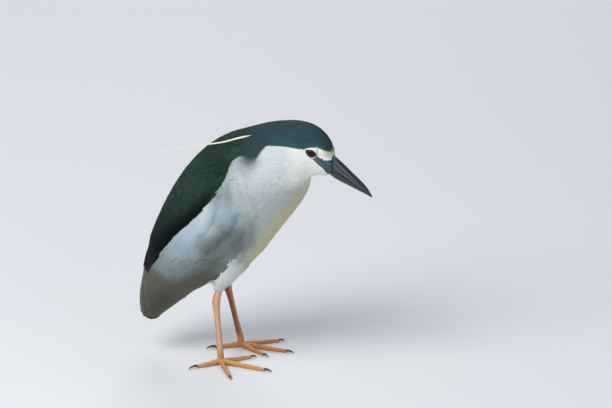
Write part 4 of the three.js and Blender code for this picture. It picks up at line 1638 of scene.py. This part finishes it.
# %% [markdown]
# ## Finishes
# Everything is coloured by the tint that its points carry. The finishes add what is too small to model:
# barbs that rake off each shaft, uneven pigment, the fine scales of the legs and the grain of horn. Each
# such effect is a node group that gives out masks and heights only, so that several finishes can share it
# with other values.


# %% Node helpers
def new_group(name, inputs, outputs):
    """An empty shader node group with float or vector sockets."""
    tree = bpy.data.node_groups.new(name, "ShaderNodeTree")
    for label, kind, value in inputs:
        socket = tree.interface.new_socket(label, in_out="INPUT", socket_type=kind)
        if kind == "NodeSocketFloat":
            socket.default_value = value
    for label in outputs:
        tree.interface.new_socket(label, in_out="OUTPUT", socket_type="NodeSocketFloat")
    return tree, tree.nodes.new("NodeGroupInput"), tree.nodes.new("NodeGroupOutput")


def math_node(tree, operation, first, second=None):
    """A maths node; each argument is a socket or a number. Gives its output socket."""
    made = tree.nodes.new("ShaderNodeMath")
    made.operation = operation
    for socket, value in zip(made.inputs, (first, second)):
        if isinstance(value, (int, float)):
            socket.default_value = value
        elif value is not None:
            tree.links.new(value, socket)
    return made.outputs[0]


def noise_node(tree, vector, scale, detail=2.0, roughness=0.5):
    made = tree.nodes.new("ShaderNodeTexNoise")
    made.inputs["Detail"].default_value = detail
    made.inputs["Roughness"].default_value = roughness
    tree.links.new(vector, made.inputs["Vector"])
    if isinstance(scale, (int, float)):
        made.inputs["Scale"].default_value = scale
    else:
        tree.links.new(scale, made.inputs["Scale"])
    return made.outputs["Fac"]


def combined(tree, x, y, z):
    made = tree.nodes.new("ShaderNodeCombineXYZ")
    for socket, value in zip(made.inputs, (x, y, z)):
        if isinstance(value, (int, float)):
            socket.default_value = value
        else:
            tree.links.new(value, socket)
    return made.outputs[0]


# %% Barbs
BARBS, barb_in, barb_out = new_group(
    "barbs",
    [("Vane", "NodeSocketVector", None), ("Spacing", "NodeSocketFloat", 0.5),
     ("Rake", "NodeSocketFloat", 1.0), ("Lock", "NodeSocketFloat", 4.0)],
    ["Height", "Streak"],
)
parts = BARBS.nodes.new("ShaderNodeSeparateXYZ")
BARBS.links.new(barb_in.outputs["Vane"], parts.inputs[0])
slope = math_node(BARBS, "MULTIPLY", math_node(BARBS, "ABSOLUTE", parts.outputs[0]), barb_in.outputs["Rake"])
raked = math_node(BARBS, "SUBTRACT", parts.outputs[1], slope)
phase = math_node(BARBS, "DIVIDE", raked, barb_in.outputs["Spacing"])
offset = math_node(BARBS, "MULTIPLY", parts.outputs[2], 57.0)
side_of_shaft = math_node(BARBS, "MULTIPLY", math_node(BARBS, "SIGN", parts.outputs[0]), 9.0)
lock = math_node(BARBS, "DIVIDE", phase, barb_in.outputs["Lock"])
locks = noise_node(BARBS, combined(BARBS, lock, offset, side_of_shaft), 1.0, 2.0)
BARBS.links.new(locks, barb_out.inputs["Streak"])
wave = math_node(BARBS, "SINE", math_node(BARBS, "MULTIPLY", phase, math.tau))
fine = math_node(BARBS, "MULTIPLY", wave, 0.25)
BARBS.links.new(math_node(BARBS, "ADD", fine, locks), barb_out.inputs["Height"])

# %% Pigment, scales and grain
PIGMENT, pigment_in, pigment_out = new_group(
    "pigment", [("Patch Size", "NodeSocketFloat", 0.02), ("Strength", "NodeSocketFloat", 0.2)], ["Shade"])
place = PIGMENT.nodes.new("ShaderNodeTexCoord").outputs["Object"]
density = math_node(PIGMENT, "DIVIDE", 1.0, pigment_in.outputs["Patch Size"])
cloud = noise_node(PIGMENT, place, density, 3.0)
swing = math_node(PIGMENT, "SUBTRACT", cloud, 0.5)
uneven = math_node(PIGMENT, "MULTIPLY", swing, pigment_in.outputs["Strength"])
PIGMENT.links.new(math_node(PIGMENT, "ADD", 1.0, uneven), pigment_out.inputs["Shade"])

SCALES, scale_in, scale_out = new_group(
    "scales", [("Scale Size", "NodeSocketFloat", 0.0012)], ["Height", "Furrow"])
place = SCALES.nodes.new("ShaderNodeTexCoord").outputs["Object"]
cells = SCALES.nodes.new("ShaderNodeTexVoronoi")
cells.feature = "DISTANCE_TO_EDGE"
SCALES.links.new(place, cells.inputs["Vector"])
SCALES.links.new(math_node(SCALES, "DIVIDE", 1.0, scale_in.outputs["Scale Size"]), cells.inputs["Scale"])
plateau = SCALES.nodes.new("ShaderNodeMapRange")
plateau.interpolation_type = "SMOOTHSTEP"
plateau.inputs["From Max"].default_value = 0.16
SCALES.links.new(cells.outputs["Distance"], plateau.inputs["Value"])
SCALES.links.new(plateau.outputs["Result"], scale_out.inputs["Height"])
SCALES.links.new(math_node(SCALES, "SUBTRACT", 1.0, plateau.outputs["Result"]), scale_out.inputs["Furrow"])

GRAIN, grain_in, grain_out = new_group(
    "grain", [("Across", "NodeSocketFloat", 900.0), ("Along", "NodeSocketFloat", 60.0)], ["Height"])
place = GRAIN.nodes.new("ShaderNodeTexCoord").outputs["Object"]
lay_along = GRAIN.nodes.new("ShaderNodeVectorRotate")
lay_along.rotation_type = "Y_AXIS"
lay_along.inputs["Angle"].default_value = math.atan2(BILL_AXIS[2], BILL_AXIS[0])
GRAIN.links.new(place, lay_along.inputs["Vector"])
axes = GRAIN.nodes.new("ShaderNodeSeparateXYZ")
GRAIN.links.new(lay_along.outputs[0], axes.inputs[0])
stretched = combined(GRAIN, math_node(GRAIN, "MULTIPLY", axes.outputs[0], grain_in.outputs["Along"]),
                     math_node(GRAIN, "MULTIPLY", axes.outputs[1], grain_in.outputs["Across"]),
                     math_node(GRAIN, "MULTIPLY", axes.outputs[2], grain_in.outputs["Across"]))
GRAIN.links.new(noise_node(GRAIN, stretched, 1.0, 3.0), grain_out.inputs["Height"])
print("groups:", [tree.name for tree in (BARBS, PIGMENT, SCALES, GRAIN)])


# %% Material helpers
def new_finish(name, **constants):
    """A material whose Principled BSDF takes its constants on its own sockets."""
    finish = bpy.data.materials.new(name)
    finish.use_nodes = True
    shader = finish.node_tree.nodes["Principled BSDF"]
    for label, value in constants.items():
        shader.inputs[label.replace("_", " ")].default_value = value
    return finish, finish.node_tree, shader


def attribute(tree, name):
    made = tree.nodes.new("ShaderNodeAttribute")
    made.attribute_name = name
    return made


def group_node(tree, group, **values):
    made = tree.nodes.new("ShaderNodeGroup")
    made.node_tree = group
    for label, value in values.items():
        made.inputs[label.replace("_", " ")].default_value = value
    return made


def shaded(tree, colour, factor):
    """A colour times a grey factor; gives the colour socket."""
    made = tree.nodes.new("ShaderNodeMix")
    made.data_type = "RGBA"
    made.blend_type = "MULTIPLY"
    made.inputs[0].default_value = 1.0
    tree.links.new(colour, made.inputs[6])
    grey = tree.nodes.new("ShaderNodeCombineColor")
    for socket in grey.inputs[:3]:
        tree.links.new(factor, socket)
    tree.links.new(grey.outputs[0], made.inputs[7])
    return made.outputs[2]


def varied(tree, mask, contrast, shade):
    """A factor round one: a mask's swing times its contrast, times the shade of the pigment."""
    spread = math_node(tree, "MULTIPLY", math_node(tree, "SUBTRACT", mask, 0.5), contrast)
    return math_node(tree, "MULTIPLY", math_node(tree, "ADD", spread, 1.0), shade)


def colour_by_tint(tree, shader, factor):
    """Base colour: the tint that the points carry, times a grey factor."""
    tint = attribute(tree, TINT).outputs["Color"]
    tree.links.new(shaded(tree, tint, factor), shader.inputs["Base Color"])


def bump(tree, shader, height, strength, distance):
    made = tree.nodes.new("ShaderNodeBump")
    made.inputs["Strength"].default_value = strength
    made.inputs["Distance"].default_value = distance
    tree.links.new(height, made.inputs["Height"])
    tree.links.new(made.outputs["Normal"], shader.inputs["Normal"])


# %% Plumage finishes
def plumage(name, spacing, rake, lock, contrast, relief, unevenness, **constants):
    """Feather finish: barb locks lighten and darken the tint and ripple the surface."""
    finish, tree, shader = new_finish(name, **constants)
    barbs = group_node(tree, BARBS, Spacing=spacing, Rake=rake, Lock=lock)
    tree.links.new(attribute(tree, "vane").outputs["Vector"], barbs.inputs["Vane"])
    pigment = group_node(tree, PIGMENT, Patch_Size=0.03, Strength=unevenness)
    factor = varied(tree, barbs.outputs["Streak"], contrast, pigment.outputs["Shade"])
    colour_by_tint(tree, shader, factor)
    bump(tree, shader, barbs.outputs["Height"], relief, 0.0002)
    return finish


DARK_FINISH = plumage("dark_feather", 0.45, 0.8, 3.0, 0.7, 0.4, 0.35, Roughness=0.45,
                      Specular_IOR_Level=0.06)
PALE_FINISH = plumage("pale_feather", 0.40, 0.6, 3.0, 0.12, 0.15, 0.06, Roughness=0.75, Sheen_Weight=0.2,
                      Sheen_Roughness=0.5, Specular_IOR_Level=0.2)
GREY_FINISH = plumage("grey_feather", 0.45, 1.1, 3.0, 0.2, 0.35, 0.12, Roughness=0.6, Sheen_Weight=0.08,
                      Sheen_Roughness=0.5, Specular_IOR_Level=0.25)
PLUME_FINISH, plume_tree, plume_shader = new_finish("plume_feather", Roughness=0.5, Sheen_Weight=0.3)
plume_pigment = group_node(plume_tree, PIGMENT, Patch_Size=0.004, Strength=0.25)
colour_by_tint(plume_tree, plume_shader, plume_pigment.outputs["Shade"])
plume_grain = group_node(plume_tree, GRAIN, Across=1500.0, Along=200.0)
bump(plume_tree, plume_shader, plume_grain.outputs["Height"], 0.3, 0.0001)

# %% Skin finish
SKIN_FINISH, tree, shader = new_finish("skin", Roughness=0.5, Specular_IOR_Level=0.45)
scales = group_node(tree, SCALES, Scale_Size=0.0010)
pigment = group_node(tree, PIGMENT, Patch_Size=0.006, Strength=0.35)
bareness = attribute(tree, "bare").outputs["Fac"]
furrow = math_node(tree, "MULTIPLY", scales.outputs["Furrow"], math_node(tree, "MULTIPLY", bareness, 0.20))
factor = math_node(tree, "MULTIPLY", math_node(tree, "SUBTRACT", 1.0, furrow), pigment.outputs["Shade"])
colour_by_tint(tree, shader, factor)
bump(tree, shader, math_node(tree, "MULTIPLY", scales.outputs["Height"], bareness), 0.5, 0.0003)


# %% Horn and eye finishes
def horn(name, across, along, contrast, relief, **constants):
    finish, tree, shader = new_finish(name, **constants)
    grain = group_node(tree, GRAIN, Across=across, Along=along)
    pigment = group_node(tree, PIGMENT, Patch_Size=0.008, Strength=0.4)
    colour_by_tint(tree, shader, varied(tree, grain.outputs["Height"], contrast, pigment.outputs["Shade"]))
    bump(tree, shader, grain.outputs["Height"], relief, 0.0003)
    return finish


BILL_FINISH = horn("bill_horn", 900.0, 70.0, 0.9, 0.35, Roughness=0.38, Specular_IOR_Level=0.5)
CLAW_FINISH = horn("claw_horn", 1500.0, 200.0, 0.6, 0.3, Roughness=0.35)
EYE_FINISH, tree, shader = new_finish("wet_eye", Roughness=0.3, Specular_IOR_Level=0.1, Coat_Weight=0.35,
                                       Coat_Roughness=0.02)
pigment = group_node(tree, PIGMENT, Patch_Size=0.0012, Strength=0.5)
colour_by_tint(tree, shader, pigment.outputs["Shade"])

# %% Dress every piece
FINISH_OF = {
    "dark_plumage": DARK_FINISH, "white_plumage": PALE_FINISH, "grey_plumage": GREY_FINISH,
    "bill_horn": BILL_FINISH, "claw_horn": CLAW_FINISH, "eye": EYE_FINISH, "plume": PLUME_FINISH,
}
bare_layer = skin.data.attributes.new("bare", "FLOAT", "POINT")
bare_layer.data.foreach_set("value", np.where(on_leg, 1.0, np.where(inside(LORE, skin_points), 0.4, 0.0)))
skin.data.materials.clear()
skin.data.materials.append(SKIN_FINISH)
for piece, slot in PIECES:
    piece.data.materials.clear()
    piece.data.materials.append(FINISH_OF[slot])
print(len(PIECES), "pieces over one skin")
